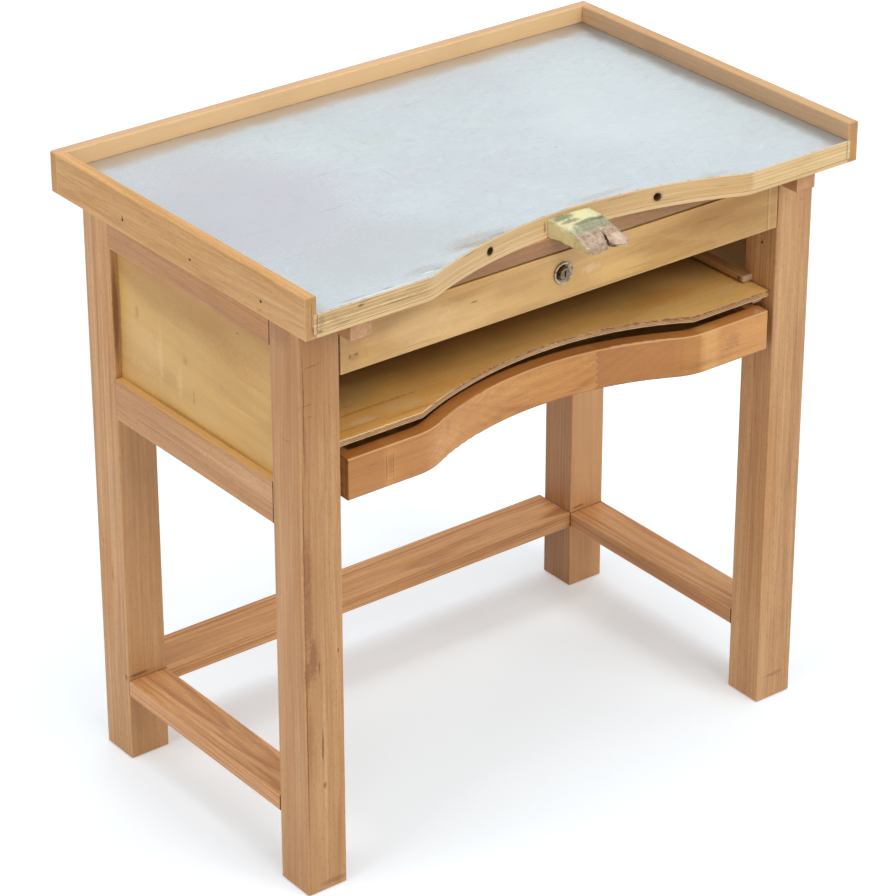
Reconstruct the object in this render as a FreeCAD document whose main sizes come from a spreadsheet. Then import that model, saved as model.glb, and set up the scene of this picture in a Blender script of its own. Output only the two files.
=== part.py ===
import FreeCAD, Part

# Jeweller's bench: a frame of four legs and tenoned rails, a curved plywood top with a zinc sheet and a
# rim, a bench pin, two drawers and a sliding tray.
#
# Millimetres. X runs to the bench's right, +Y to its back, +Z up. The origin is on the floor, in the
# middle of the bench's overall width and depth.

import math
import os
import re

import Sketcher

# Driving dimensions: alias, value, what it is.
DRIVING = [
    ("top_width", 950, "overall width over the side rims"),
    ("top_depth", 600, "from the straight ends of the front edge to the back of the rim"),
    ("bench_height", 945, "floor to the top of the rim"),
    ("pin_reach", 17, "how far the bench pin stands out past the front edge's ends"),
    ("side_overhang", 27, "top past the legs at each side"),
    ("front_overhang", 56, "top past the legs at the front"),
    ("back_overhang", 34, "top past the legs at the back"),
    ("leg_size", 65, "square section of a leg"),
    ("foot_chamfer", 2, "bevel round the bottom of a leg"),
    ("arris", 1.5, "rounding of the edges of rails and boards"),
    ("leg_arris", 2.5, "rounding of the legs' long edges"),
    # Rails, panels and stretchers
    ("side_rail_thickness", 25, "rails at the sides and the back"),
    ("top_rail_height", 60, "rails under the top"),
    ("lower_rail_level", 625, "top of the lower rails over the floor"),
    ("lower_rail_height", 63, "lower rails"),
    ("front_rail_height", 24, "rail over the upper drawer"),
    ("front_rail_depth", 40, "rail over the upper drawer, front to back"),
    ("panel_thickness", 8, "side and back panels"),
    ("panel_recess", 11.5, "panel behind the outer face of its rails"),
    ("panel_groove", 8, "how far a panel goes into its frame"),
    ("stretcher_level", 133.5, "top of the stretchers over the floor"),
    ("stretcher_thickness", 25, "stretchers, bottom to top"),
    ("back_stretcher_width", 78, "back stretcher, front to back"),
    ("tenon_thickness", 10, "tenons of the rails"),
    ("tenon_length", 30, "tenons of rails and stretchers"),
    ("tenon_shoulder", 10, "rail past its tenon at each edge"),
    ("front_tenon_inset", 5, "front rail past its tenon, top and bottom"),
    ("stretcher_tenon", 12, "tenons of the stretchers"),
    ("glue_gap", 0.1, "room round a tenon or a panel's edge"),
    ("end_gap", 1, "room at the bottom of a mortise or groove"),
    ("peg_hole", 5, "diameter of the shelf-pin hole in the right front leg"),
    ("peg_hole_depth", 18, "depth of that hole"),
    ("peg_hole_setback", 31, "that hole behind the leg's front"),
    ("peg_hole_drop", 132, "that hole below the top of the leg"),
    # The top
    ("rim_height", 60, "rim boards"),
    ("rim_thickness", 17, "rim boards"),
    ("rim_groove", 4, "how far the plywood goes into the rim"),
    ("rim_round", 3, "rounding of the rim's upper edges"),
    ("ply_thickness", 27, "plywood top"),
    ("underlay_thickness", 6, "board glued under the plywood"),
    ("zinc_thickness", 0.8, "zinc sheet"),
    ("zinc_setback", 0.6, "zinc sheet behind the plywood's front edge"),
    ("belly_span", 285, "half the width of the curve in the front edge"),
    ("belly_depth", 60, "depth of that curve"),
    ("belly_shoulder", 57, "radius where that curve meets the straight ends"),
    ("accessory_hole", 12, "diameter of the two holes in the front edge"),
    ("accessory_hole_depth", 60, "their depth past the deepest point of the front curve"),
    ("accessory_hole_offset", 145, "from the middle of the bench"),
    ("accessory_hole_rise", 17, "over the underside of the top"),
    ("block_width", 33, "blocks under the front overhang"),
    ("block_depth", 31, "the same blocks, front to back"),
    ("block_setback", 5, "the same blocks, behind the front edge"),
    ("block_shift", 2, "their middles, out past the legs' inner faces"),
    ("nail_shank", 2.2, "rim nails"),
    ("nail_head", 4.6, "rim nails"),
    ("nail_head_thickness", 1, "rim nails"),
    ("nail_length", 38, "rim nails"),
    ("side_nail_first", 98, "first side nail behind the front edge"),
    ("side_nail_pitch", 161, "side nails"),
    ("side_nails", 3, "nails in each side rim"),
    ("back_nail_pitch", 270, "back nails"),
    ("back_nails", 4, "nails in the back rim"),
    # Bench pin
    ("pin_width", 70, "bench pin"),
    ("pin_slot_height", 27, "slot for the pin, from the underside of the top"),
    ("pin_tail", 50, "how far the pin goes into the top"),
    ("pin_gap", 0.3, "room round the pin"),
    ("pin_bend", 30, "where the pin's top steepens, behind its tip"),
    ("pin_bend_thickness", 18, "pin there"),
    ("pin_tip_thickness", 5, "pin at its tip"),
    ("notch_depth", 27, "V notch"),
    ("notch_mouth", 20, "V notch"),
    ("notch_offset", 10, "V notch, right of the middle"),
    ("prong_round", 7, "corners of the pin's prongs"),
    # Runners and kickers
    ("runner_width", 18, "runners and kickers"),
    ("slide_gap", 0.3, "a sliding piece over what carries it"),
    ("upper_runner_height", 20, "runners of the upper drawer"),
    ("upper_runner_setback", 39, "the same, behind the legs' fronts"),
    ("tray_runner_height", 12, "runners of the tray"),
    ("tray_runner_setback", 26, "the same, behind the legs' fronts"),
    ("tray_kicker_height", 9, "strips over the tray"),
    ("tray_kicker_gap", 3, "room between tray and strips"),
    ("tray_kicker_setback", 48, "the same strips, behind the legs' fronts"),
    ("batten_height", 12, "battens that the lower drawer slides on"),
    ("batten_setback", 35, "the same battens, behind the legs' fronts"),
    ("runner_overlap", 40, "runners past the fronts of the back legs"),
    ("screw_shank", 3.5, "wood screws"),
    ("screw_head", 7, "wood screws"),
    ("screw_head_height", 2, "wood screws"),
    ("screw_length", 35, "wood screws through the runners"),
    ("top_screw_length", 42, "wood screws up into the top"),
    ("screw_slot", 1, "width and depth of a screw's slot"),
    ("screw_gap", 0.05, "room round a screw"),
    ("top_screw_pitch", 165, "screws up into the top"),
    ("top_screws_each_side", 3, "screws up into the top"),
    # Upper drawer
    ("drawer_top_gap", 2, "rail to drawer front"),
    ("drawer_side_gap", 2, "leg to upper drawer and to tray"),
    ("upper_front_height", 72, "front of the upper drawer"),
    ("upper_front_thickness", 20, "front of the upper drawer"),
    ("upper_side_thickness", 12, "sides and back of the upper drawer"),
    ("upper_side_drop", 4, "sides below the top of the front"),
    ("upper_back_room", 45, "behind the upper drawer, to the back rails"),
    ("drawer_lap", 8, "wood left in front of a drawer side's end"),
    ("drawer_bottom_thickness", 5, "bottoms of both drawers"),
    ("drawer_bottom_rise", 8, "bottom over the lower edge of the sides"),
    ("drawer_bottom_groove", 5, "how far a bottom goes into its sides"),
    ("drawer_arris", 1, "rounding of the drawer fronts' edges"),
    # Lock
    ("lock_offset", -10, "lock, from the middle of the bench"),
    ("lock_drop", 31, "lock below the top of the drawer front"),
    ("lock_ring_diameter", 32, "ring round the lock"),
    ("lock_ring_thickness", 3, "ring round the lock"),
    ("lock_ring_mouth", 27, "dished front of the ring"),
    ("plug_diameter", 17, "head of the lock's plug"),
    ("plug_proud", 6, "plug before the drawer front"),
    ("plug_shaft", 12, "shaft of the plug"),
    ("plug_gap", 0.3, "room round the plug"),
    ("lock_barrel", 19, "barrel of the lock"),
    ("lock_barrel_end", 6, "barrel behind the drawer front"),
    ("lock_flange_width", 42, "flange behind the drawer front"),
    ("lock_flange_height", 26, "flange behind the drawer front"),
    ("lock_flange_thickness", 2.5, "flange behind the drawer front"),
    ("lock_screw_pitch", 31, "two small screws in the flange"),
    ("lock_screw_shank", 2.5, "two small screws in the flange"),
    ("lock_screw_head", 5, "two small screws in the flange"),
    ("lock_screw_length", 12, "two small screws in the flange"),
    ("keyhole_width", 2.2, "keyhole"),
    ("keyhole_height", 9, "keyhole"),
    ("keyhole_depth", 12, "keyhole"),
    ("cam_length", 44, "cam, from the lock's axis to its tip"),
    ("cam_width", 15, "cam"),
    ("cam_thickness", 2.5, "cam"),
    ("cam_gap", 1.25, "air round the cam in the rail's slot"),
    ("cam_corner", 4, "rounded corners of the cam"),
    ("plug_tail", 6, "square end of the plug, in the cam"),
    ("cam_screw_head", 9, "screw that holds the cam"),
    ("cam_screw_shank", 3, "screw that holds the cam"),
    ("cam_screw_length", 12, "screw that holds the cam"),
    ("cam_screw_head_height", 2, "screw that holds the cam"),
    # Tray
    ("tray_drop", 102, "upper drawer's lower edge to the tray"),
    ("tray_thickness", 10, "tray board"),
    ("tray_setback", 10, "tray behind the legs' fronts"),
    ("tray_back_room", 45, "behind the tray, to the back rails"),
    ("tray_span", 250, "half the width of the tray's curve"),
    ("tray_curve_depth", 57, "depth of that curve"),
    ("tray_shoulder", 77, "radius where that curve meets the straight ends"),
    # Lower drawer
    ("lower_gap", 15, "tray to lower drawer"),
    ("lower_front_height", 62, "front of the lower drawer"),
    ("lower_front_thickness", 22, "front of the lower drawer"),
    ("lower_side_gap", 12, "leg to lower drawer"),
    ("lower_side_thickness", 18, "sides of the lower drawer"),
    ("lower_back_thickness", 15, "back of the lower drawer"),
    ("lower_side_drop", 2, "sides below the top of the front"),
    ("lower_back_room", 55, "behind the lower drawer, to the back rails"),
    ("lower_span", 255, "half the width of the front's curve"),
    ("lower_curve_depth", 60, "depth of that curve"),
    ("lower_shoulder", 100, "radius where that curve meets the straight ends"),
    ("lower_round", 2.5, "rounding of the front's edges"),
    ("slide_groove", 7, "groove in the drawer's sides for the batten"),
    ("slide_groove_rise", 25, "that groove over the drawer's lower edge"),
]

# Worked out in the sheet from the driving dimensions.
DERIVED = [
    ("leg_height", "bench_height - rim_height"),
    ("front_edge", "(pin_reach - top_depth) / 2"),
    ("back_edge", "front_edge + top_depth"),
    ("tip_edge", "front_edge - pin_reach"),
    ("leg_out", "top_width / 2 - side_overhang"),
    ("leg_in", "leg_out - leg_size"),
    ("block_middle", "leg_in + block_shift"),
    ("front_leg_near", "front_edge + front_overhang"),
    ("front_leg_far", "front_leg_near + leg_size"),
    ("back_leg_far", "back_edge - back_overhang"),
    ("back_leg_near", "back_leg_far - leg_size"),
    ("rail_in", "leg_out - side_rail_thickness"),
    ("panel_out", "leg_out - panel_recess"),
    ("panel_in", "panel_out - panel_thickness"),
    ("back_rail_near", "back_leg_far - side_rail_thickness"),
    ("back_panel_far", "back_leg_far - panel_recess"),
    ("back_panel_near", "back_panel_far - panel_thickness"),
    ("top_rail_bottom", "leg_height - top_rail_height"),
    ("lower_rail_bottom", "lower_rail_level - lower_rail_height"),
    ("panel_bottom", "lower_rail_level - panel_groove"),
    ("panel_top", "top_rail_bottom + panel_groove"),
    ("front_rail_bottom", "leg_height - front_rail_height"),
    ("front_rail_far", "front_leg_near + front_rail_depth"),
    ("stretcher_bottom", "stretcher_level - stretcher_thickness"),
    ("back_stretcher_far", "back_leg_near + back_stretcher_width"),
    ("ply_bottom", "leg_height + underlay_thickness"),
    ("ply_top", "ply_bottom + ply_thickness"),
    ("rim_in", "top_width / 2 - rim_thickness"),
    ("ply_edge", "rim_in + rim_groove"),
    ("rim_back_in", "back_edge - rim_thickness"),
    ("ply_back", "rim_back_in + rim_groove"),
    ("nail_level", "ply_bottom + ply_thickness / 2"),
    ("belly_edge", "front_edge + belly_depth"),
    ("pin_bottom", "leg_height + pin_gap"),
    ("pin_top", "leg_height + pin_slot_height - pin_gap"),
    ("pin_slot_back", "belly_edge + pin_tail"),
    ("drawer_front_top", "front_rail_bottom - drawer_top_gap"),
    ("upper_bottom", "drawer_front_top - upper_front_height"),
    ("upper_side_top", "drawer_front_top - upper_side_drop"),
    ("upper_out", "leg_in - drawer_side_gap"),
    ("upper_in", "upper_out - upper_side_thickness"),
    ("upper_front_far", "front_leg_near + upper_front_thickness"),
    ("upper_back", "back_rail_near - upper_back_room"),
    ("upper_floor", "upper_bottom + drawer_bottom_rise"),
    ("upper_runner_top", "upper_bottom - slide_gap"),
    ("runner_in", "leg_in - runner_width"),
    ("tray_top", "upper_bottom - tray_drop"),
    ("tray_bottom", "tray_top - tray_thickness"),
    ("tray_front", "front_leg_near + tray_setback"),
    ("tray_back", "back_rail_near - tray_back_room"),
    ("tray_runner_top", "tray_bottom - slide_gap"),
    ("tray_kicker_bottom", "tray_top + tray_kicker_gap"),
    ("lower_top", "tray_bottom - lower_gap"),
    ("lower_bottom", "lower_top - lower_front_height"),
    ("lower_side_top", "lower_top - lower_side_drop"),
    ("lower_out", "leg_in - lower_side_gap"),
    ("lower_in", "lower_out - lower_side_thickness"),
    ("lower_back", "back_rail_near - lower_back_room"),
    ("lower_floor", "lower_bottom + drawer_bottom_rise"),
    ("slide_in", "lower_out - slide_groove"),
    ("slide_bottom", "lower_bottom + slide_groove_rise"),
    ("slide_top", "slide_bottom + batten_height + 2 * slide_gap"),
    ("lock_level", "drawer_front_top - lock_drop"),
    ("lock_flange_far", "upper_front_far + lock_flange_thickness"),
    ("lock_barrel_far", "upper_front_far + lock_barrel_end"),
    ("runner_back", "back_leg_near + runner_overlap"),
    ("cam_reach", "sqrt(cam_length ^ 2 + (cam_width / 2) ^ 2)"),
    ("cam_near", "lock_barrel_far + plug_gap"),
    ("cam_far", "cam_near + cam_thickness"),
]

ALIASES = {row[0] for row in DRIVING + DERIVED}
LEFT, RIGHT = "left", "right"
SIDES = (LEFT, RIGHT)
X_AXIS = FreeCAD.Vector(1, 0, 0)
Y_AXIS = FreeCAD.Vector(0, 1, 0)
Z_AXIS = FreeCAD.Vector(0, 0, 1)

doc = FreeCAD.newDocument("JewellersBench")
sheet = doc.addObject("Spreadsheet::Sheet", "Sizes")
reckoner = doc.addObject("Spreadsheet::Sheet", "Reckoner")
parts = []


def fill_sheet():
    """Write the driving dimensions as plain numbers and the derived ones as formulas."""
    rows = [(alias, str(value), note) for alias, value, note in DRIVING]
    rows += [(alias, "=" + formula, "worked out") for alias, formula in DERIVED]
    for row, (alias, content, note) in enumerate(rows, start=1):
        sheet.set("A%d" % row, note)
        sheet.set("B%d" % row, content)
        sheet.setAlias("B%d" % row, alias)
    doc.recompute()


def bind(thing, path, formula):
    """Bind a property to a formula of the sheet's aliases."""
    thing.setExpression(path, re.sub(r"[a-z_]+", in_sheet, formula))


def in_sheet(word):
    """The name an alias has outside the sheet; any other word stays as it is."""
    return "Sizes." + word.group() if word.group() in ALIASES else word.group()


def keep(thing, label):
    """Give a finished sub-part its label and list it for export."""
    thing.Label = label
    parts.append(thing)
    return thing


def new_body(label):
    """A body for one sub-part."""
    return keep(doc.addObject("PartDesign::Body", label), label)


def across(side, inner, outer):
    """The x range from inner to outer on one side of the bench's middle."""
    if side == RIGHT:
        return inner, outer
    return "-(%s)" % outer, "-(%s)" % inner


def mirrored(side, formula):
    """A distance from the bench's middle, as x on one side."""
    return formula if side == RIGHT else "-(%s)" % formula


def grown(span, gap="glue_gap"):
    """A range with room added at both ends."""
    return "%s - %s" % (span[0], gap), "%s + %s" % (span[1], gap)


def place(thing, at, direction=Z_AXIS):
    """Put a primitive's corner or foot at three formulas, with its own Z along direction."""
    thing.Placement = FreeCAD.Placement(FreeCAD.Vector(), FreeCAD.Rotation(Z_AXIS, direction))
    for axis, formula in zip("xyz", at):
        bind(thing, "Placement.Base." + axis, formula)


def sketch_on(body, name, role, offset):
    """A sketch on one of the body's origin planes, moved by three formulas in the plane's own axes."""
    sketch = body.newObject("Sketcher::SketchObject", name)
    origin_plane = [feature for feature in body.Origin.OriginFeatures if feature.Role == role][0]
    sketch.AttachmentSupport = [(origin_plane, "")]
    sketch.MapMode = "FlatFace"
    for axis, formula in zip("xyz", offset):
        bind(sketch, "AttachmentOffset.Base." + axis, formula)
    return sketch


def constrain(sketch, name, kind, *where):
    """Add a named dimension, bound to a formula. where holds points and the formula."""
    *points, formula = where
    index = sketch.addConstraint(Sketcher.Constraint(kind, *points, number(formula)))
    sketch.renameConstraint(index, name)
    bind(sketch, "Constraints." + name, formula)


def rectangle(body, name, x, y, z):
    """A rectangle over the given x and y ranges, at height z."""
    sketch = sketch_on(body, name, "XY_Plane", (x[0], y[0], z))
    width, depth = "(%s) - (%s)" % (x[1], x[0]), "(%s) - (%s)" % (y[1], y[0])
    wide, deep = number(width), number(depth)
    corners = [FreeCAD.Vector(u, v, 0) for u, v in ((0, 0), (wide, 0), (wide, deep), (0, deep))]
    for i in range(4):
        sketch.addGeometry(Part.LineSegment(corners[i], corners[(i + 1) % 4]))
    for i in range(4):
        sketch.addConstraint(Sketcher.Constraint("Coincident", i, 2, (i + 1) % 4, 1))
        sketch.addConstraint(Sketcher.Constraint("Vertical" if i % 2 else "Horizontal", i))
    sketch.addConstraint(Sketcher.Constraint("Coincident", 0, 1, -1, 1))
    constrain(sketch, "width", "DistanceX", 0, 1, 0, 2, width)
    constrain(sketch, "depth", "DistanceY", 1, 1, 1, 2, depth)
    return sketch


def pad(body, name, sketch, length):
    """Raise a sketch into a board."""
    feature = body.newObject("PartDesign::Pad", name)
    feature.Profile = sketch
    bind(feature, "Length", length)
    return feature


def board(label, x, y, z):
    """A body made of one rectangular board over three ranges."""
    body = new_body(label)
    sketch = rectangle(body, label + "_outline", x, y, z[0])
    pad(body, label + "_board", sketch, "(%s) - (%s)" % (z[1], z[0]))
    return body


def box(body, kind, name, x, y, z):
    """Add or cut a box (kind is Additive or Subtractive) over three ranges."""
    feature = body.newObject("PartDesign::%sBox" % kind, body.Label + "_" + name)
    place(feature, (x[0], y[0], z[0]))
    for side, span in zip(("Length", "Width", "Height"), (x, y, z)):
        bind(feature, side, "(%s) - (%s)" % (span[1], span[0]))
    return feature


def bore(body, name, diameter, depth, at, direction):
    """Drill a round hole from a point along a direction."""
    feature = body.newObject("PartDesign::SubtractiveCylinder", body.Label + "_" + name)
    bind(feature, "Radius", "(%s) / 2" % diameter)
    bind(feature, "Height", depth)
    place(feature, at, direction)


def countersink(body, name, at, direction):
    """Cut the seat of a wood screw's head, from the surface inwards."""
    feature = body.newObject("PartDesign::SubtractiveCone", body.Label + "_" + name)
    bind(feature, "Radius1", "screw_head / 2 + screw_gap")
    bind(feature, "Radius2", "screw_shank / 2 + screw_gap")
    bind(feature, "Height", "screw_head_height")
    place(feature, at, direction)


def soften(body, kind, size, wanted, name="edges"):
    """Fillet or chamfer the edges of the body that wanted(edge, box of the body) picks."""
    doc.recompute()
    base = body.Tip
    shape = base.Shape
    limits = shape.BoundBox
    names = ["Edge%d" % (i + 1) for i, edge in enumerate(shape.Edges) if wanted(edge, limits)]
    if not names:
        raise RuntimeError("no edges to soften on " + body.Label)
    feature = body.newObject("PartDesign::" + kind, body.Label + "_" + name)
    feature.Base = (base, names)
    bind(feature, "Radius" if kind == "Fillet" else "Size", size)


def near(value, *limits):
    """Whether a value lies on one of the limits."""
    return any(abs(value - limit) < 1e-4 for limit in limits)


def is_along(edge, axis):
    """Whether a straight edge runs along an axis."""
    size = edge.BoundBox
    lengths = {"x": size.XLength, "y": size.YLength, "z": size.ZLength}
    return all(length < 1e-4 for other, length in lengths.items() if other != axis)


def long_arrises(axis):
    """Picks the edges along an axis that lie on two outer faces at once."""
    def wanted(edge, limits):
        if not is_along(edge, axis):
            return False
        middle = edge.BoundBox.Center
        on_faces = {
            "x": near(middle.x, limits.XMin, limits.XMax),
            "y": near(middle.y, limits.YMin, limits.YMax),
            "z": near(middle.z, limits.ZMin, limits.ZMax),
        }
        return all(hit for other, hit in on_faces.items() if other != axis)
    return wanted


def number(formula):
    """The present value of a formula, worked out in a sheet of its own."""
    reckoner.set("A1", "=" + re.sub(r"[a-z_]+", in_sheet, formula))
    reckoner.recompute()
    return float(reckoner.get("A1"))


def curved_outline(body, name, start, half_width, depth, curve, level):
    """The plan of a board whose front edge is straight at its ends and bellies back between them.

    start is the y of the straight ends. curve gives half the span of the curve, its depth, and the radius
    of the shoulders where it leaves the straight ends. The big middle radius follows, because every arc is
    tangent to the next.
    """
    span, belly, shoulder = curve
    middle = "((%s) ^ 2 + (%s) ^ 2) / (2 * (%s)) - (%s)" % (span, belly, belly, shoulder)
    wide, deep, half, rise = number(half_width), number(depth), number(span), number(belly)
    small, large = number(shoulder), number(middle)
    lean = math.asin(half / (small + large))
    down = -math.pi / 2
    up = math.pi / 2
    sketch = sketch_on(body, name, "XY_Plane", ("0", start, level))

    def point(u, v):
        return FreeCAD.Vector(u, v, 0)

    def arc(u, v, radius, first, last):
        return Part.ArcOfCircle(Part.Circle(point(u, v), Z_AXIS, radius), first, last)

    sketch.addGeometry([
        Part.LineSegment(point(wide, 0), point(wide, deep)),
        Part.LineSegment(point(wide, deep), point(-wide, deep)),
        Part.LineSegment(point(-wide, deep), point(-wide, 0)),
        Part.LineSegment(point(-wide, 0), point(-half, 0)),
        arc(-half, small, small, down, down + lean),
        arc(0, rise - large, large, up - lean, up + lean),
        arc(half, small, small, down - lean, down),
        Part.LineSegment(point(half, 0), point(wide, 0)),
    ])
    right, back, left, left_front, left_arc, middle_arc, right_arc, right_front = range(8)
    for first, second in ((right, back), (back, left), (left, left_front), (right_front, right)):
        sketch.addConstraint(Sketcher.Constraint("Coincident", first, 2, second, 1))
    for first, its_end, second, other_end in (
        (left_front, 2, left_arc, 1),
        (left_arc, 2, middle_arc, 2),
        (middle_arc, 1, right_arc, 1),
        (right_arc, 2, right_front, 1),
    ):
        sketch.addConstraint(Sketcher.Constraint("Tangent", first, its_end, second, other_end))
    for line in (right, left):
        sketch.addConstraint(Sketcher.Constraint("Vertical", line))
    for line in (back, left_front):
        sketch.addConstraint(Sketcher.Constraint("Horizontal", line))
    x_axis, y_axis = -1, -2
    sketch.addConstraint(Sketcher.Constraint("Symmetric", left_front, 1, right_front, 2, y_axis))
    sketch.addConstraint(Sketcher.Constraint("Symmetric", left_front, 2, right_front, 1, y_axis))
    sketch.addConstraint(Sketcher.Constraint("PointOnObject", left_front, 1, x_axis))
    sketch.addConstraint(Sketcher.Constraint("Equal", left_arc, right_arc))
    constrain(sketch, "width", "DistanceX", left_front, 1, right_front, 2, "2 * (%s)" % half_width)
    constrain(sketch, "depth", "DistanceY", right, 1, right, 2, depth)
    constrain(sketch, "span", "DistanceX", left_front, 2, right_front, 1, "2 * (%s)" % span)
    constrain(sketch, "shoulder", "Radius", left_arc, shoulder)
    constrain(sketch, "middle", "Radius", middle_arc, middle)
    return sketch


def curved_board(label, start, half_width, depth, curve, level, thickness):
    """A body made of one board with a curved front edge."""
    body = new_body(label)
    sketch = curved_outline(body, label + "_outline", start, half_width, depth, curve, level)
    pad(body, label + "_board", sketch, thickness)
    return body


def cut_behind(body, name, start, half_width, depth, curve, level, height):
    """Cut away what lies behind a curved line, over a height."""
    name = body.Label + "_" + name
    sketch = curved_outline(body, name + "_outline", start, half_width, depth, curve, level)
    feature = body.newObject("PartDesign::Pocket", name)
    feature.Profile = sketch
    feature.Reversed = True
    bind(feature, "Length", height)


def front_corners(edge, limits):
    """Picks the level edges of a curved front: not the sides, not the back, not the corners' uprights."""
    size = edge.BoundBox
    level = near(size.ZMin, limits.ZMin, limits.ZMax) and size.ZLength < 1e-4
    return level and not is_along(edge, "y") and not near(size.YMin, limits.YMax)


def front_top_edge(edge, limits):
    """Picks the upper edge of a curved front."""
    return front_corners(edge, limits) and near(edge.BoundBox.ZMin, limits.ZMax)


# ---------------------------------------------------------------------------------------------------------
# Ranges that several pieces share
# ---------------------------------------------------------------------------------------------------------

RAIL_TENON_X = ("rail_in + (side_rail_thickness - tenon_thickness) / 2",
                "rail_in + (side_rail_thickness + tenon_thickness) / 2")
BACK_TENON_Y = ("back_rail_near + (side_rail_thickness - tenon_thickness) / 2",
                "back_rail_near + (side_rail_thickness + tenon_thickness) / 2")
TOP_RAIL_Z = ("top_rail_bottom", "leg_height")
TOP_TENON_Z = ("top_rail_bottom + tenon_shoulder", "leg_height - tenon_shoulder")
LOWER_RAIL_Z = ("lower_rail_bottom", "lower_rail_level")
LOWER_TENON_Z = ("lower_rail_bottom + tenon_shoulder", "lower_rail_level - tenon_shoulder")
STRETCHER_Z = ("stretcher_bottom", "stretcher_level")
STRETCHER_TENON_Z = ("stretcher_level - (stretcher_thickness + stretcher_tenon) / 2",
                     "stretcher_level - (stretcher_thickness - stretcher_tenon) / 2")
SIDE_STRETCHER_TENON_X = ("leg_in + tenon_length + front_tenon_inset", "leg_out - tenon_shoulder")
BACK_STRETCHER_TENON_Y = ("back_leg_near + tenon_shoulder", "back_leg_far - tenon_shoulder")
BETWEEN_LEGS_Y = ("front_leg_far", "back_leg_near")
SIDE_TENONS_Y = ("front_leg_far - tenon_length", "back_leg_near + tenon_length")
FRONT_RAIL_TENON_Y = ("front_leg_near + tenon_shoulder", "front_rail_far - tenon_shoulder")
FRONT_RAIL_TENON_Z = ("front_rail_bottom + front_tenon_inset", "leg_height - front_tenon_inset")
PANEL_X = ("panel_in", "panel_out")
BACK_PANEL_Y = ("back_panel_near", "back_panel_far")
PANEL_Z = ("panel_bottom", "panel_top")
ACROSS_LEGS_X = ("-leg_in", "leg_in")
ACROSS_TENONS_X = ("-(leg_in + tenon_length)", "leg_in + tenon_length")
ACROSS_GROOVES_X = ("-(leg_in + panel_groove)", "leg_in + panel_groove")
RUNNER_X = ("runner_in", "leg_in")
BELLY = ("belly_span", "belly_depth", "belly_shoulder")
PIN_SLOT = (("-(pin_width / 2 + pin_gap)", "pin_width / 2 + pin_gap"), ("front_edge", "pin_slot_back"),
            ("leg_height", "leg_height + pin_slot_height"))

# Strips screwed to the inner faces of the legs: name, how far behind the legs' fronts, inner face, lower
# and upper face.
STRIPS = (
    ("upper_runner", "upper_runner_setback", "runner_in",
     ("upper_runner_top - upper_runner_height", "upper_runner_top")),
    ("tray_kicker", "tray_kicker_setback", "runner_in",
     ("tray_kicker_bottom", "tray_kicker_bottom + tray_kicker_height")),
    ("tray_runner", "tray_runner_setback", "runner_in",
     ("tray_runner_top - tray_runner_height", "tray_runner_top")),
    ("lower_runner", "batten_setback", "slide_in + end_gap",
     ("slide_bottom + slide_gap", "slide_bottom + slide_gap + batten_height")),
)


def strip_screws(setback, level):
    """The y and z of a strip's two screws, one into each leg."""
    height = "(%s + %s) / 2" % level
    return (("(front_leg_near + %s + front_leg_far) / 2" % setback, height),
            ("back_leg_near + runner_overlap / 2", height))


def top_screw_places():
    """The x and y of the screws that go up into the top, on the right."""
    count = int(number("top_screws_each_side"))
    middle = "(front_rail_far + runner_back) / 2"
    return [("(runner_in + leg_in) / 2", "%s + top_screw_pitch * %s" % (middle, i - (count - 1) / 2))
            for i in range(count)]


def inwards(side):
    """The direction from one side of the bench to its middle."""
    return -X_AXIS if side == RIGHT else X_AXIS


# ---------------------------------------------------------------------------------------------------------
# Frame
# ---------------------------------------------------------------------------------------------------------

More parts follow.
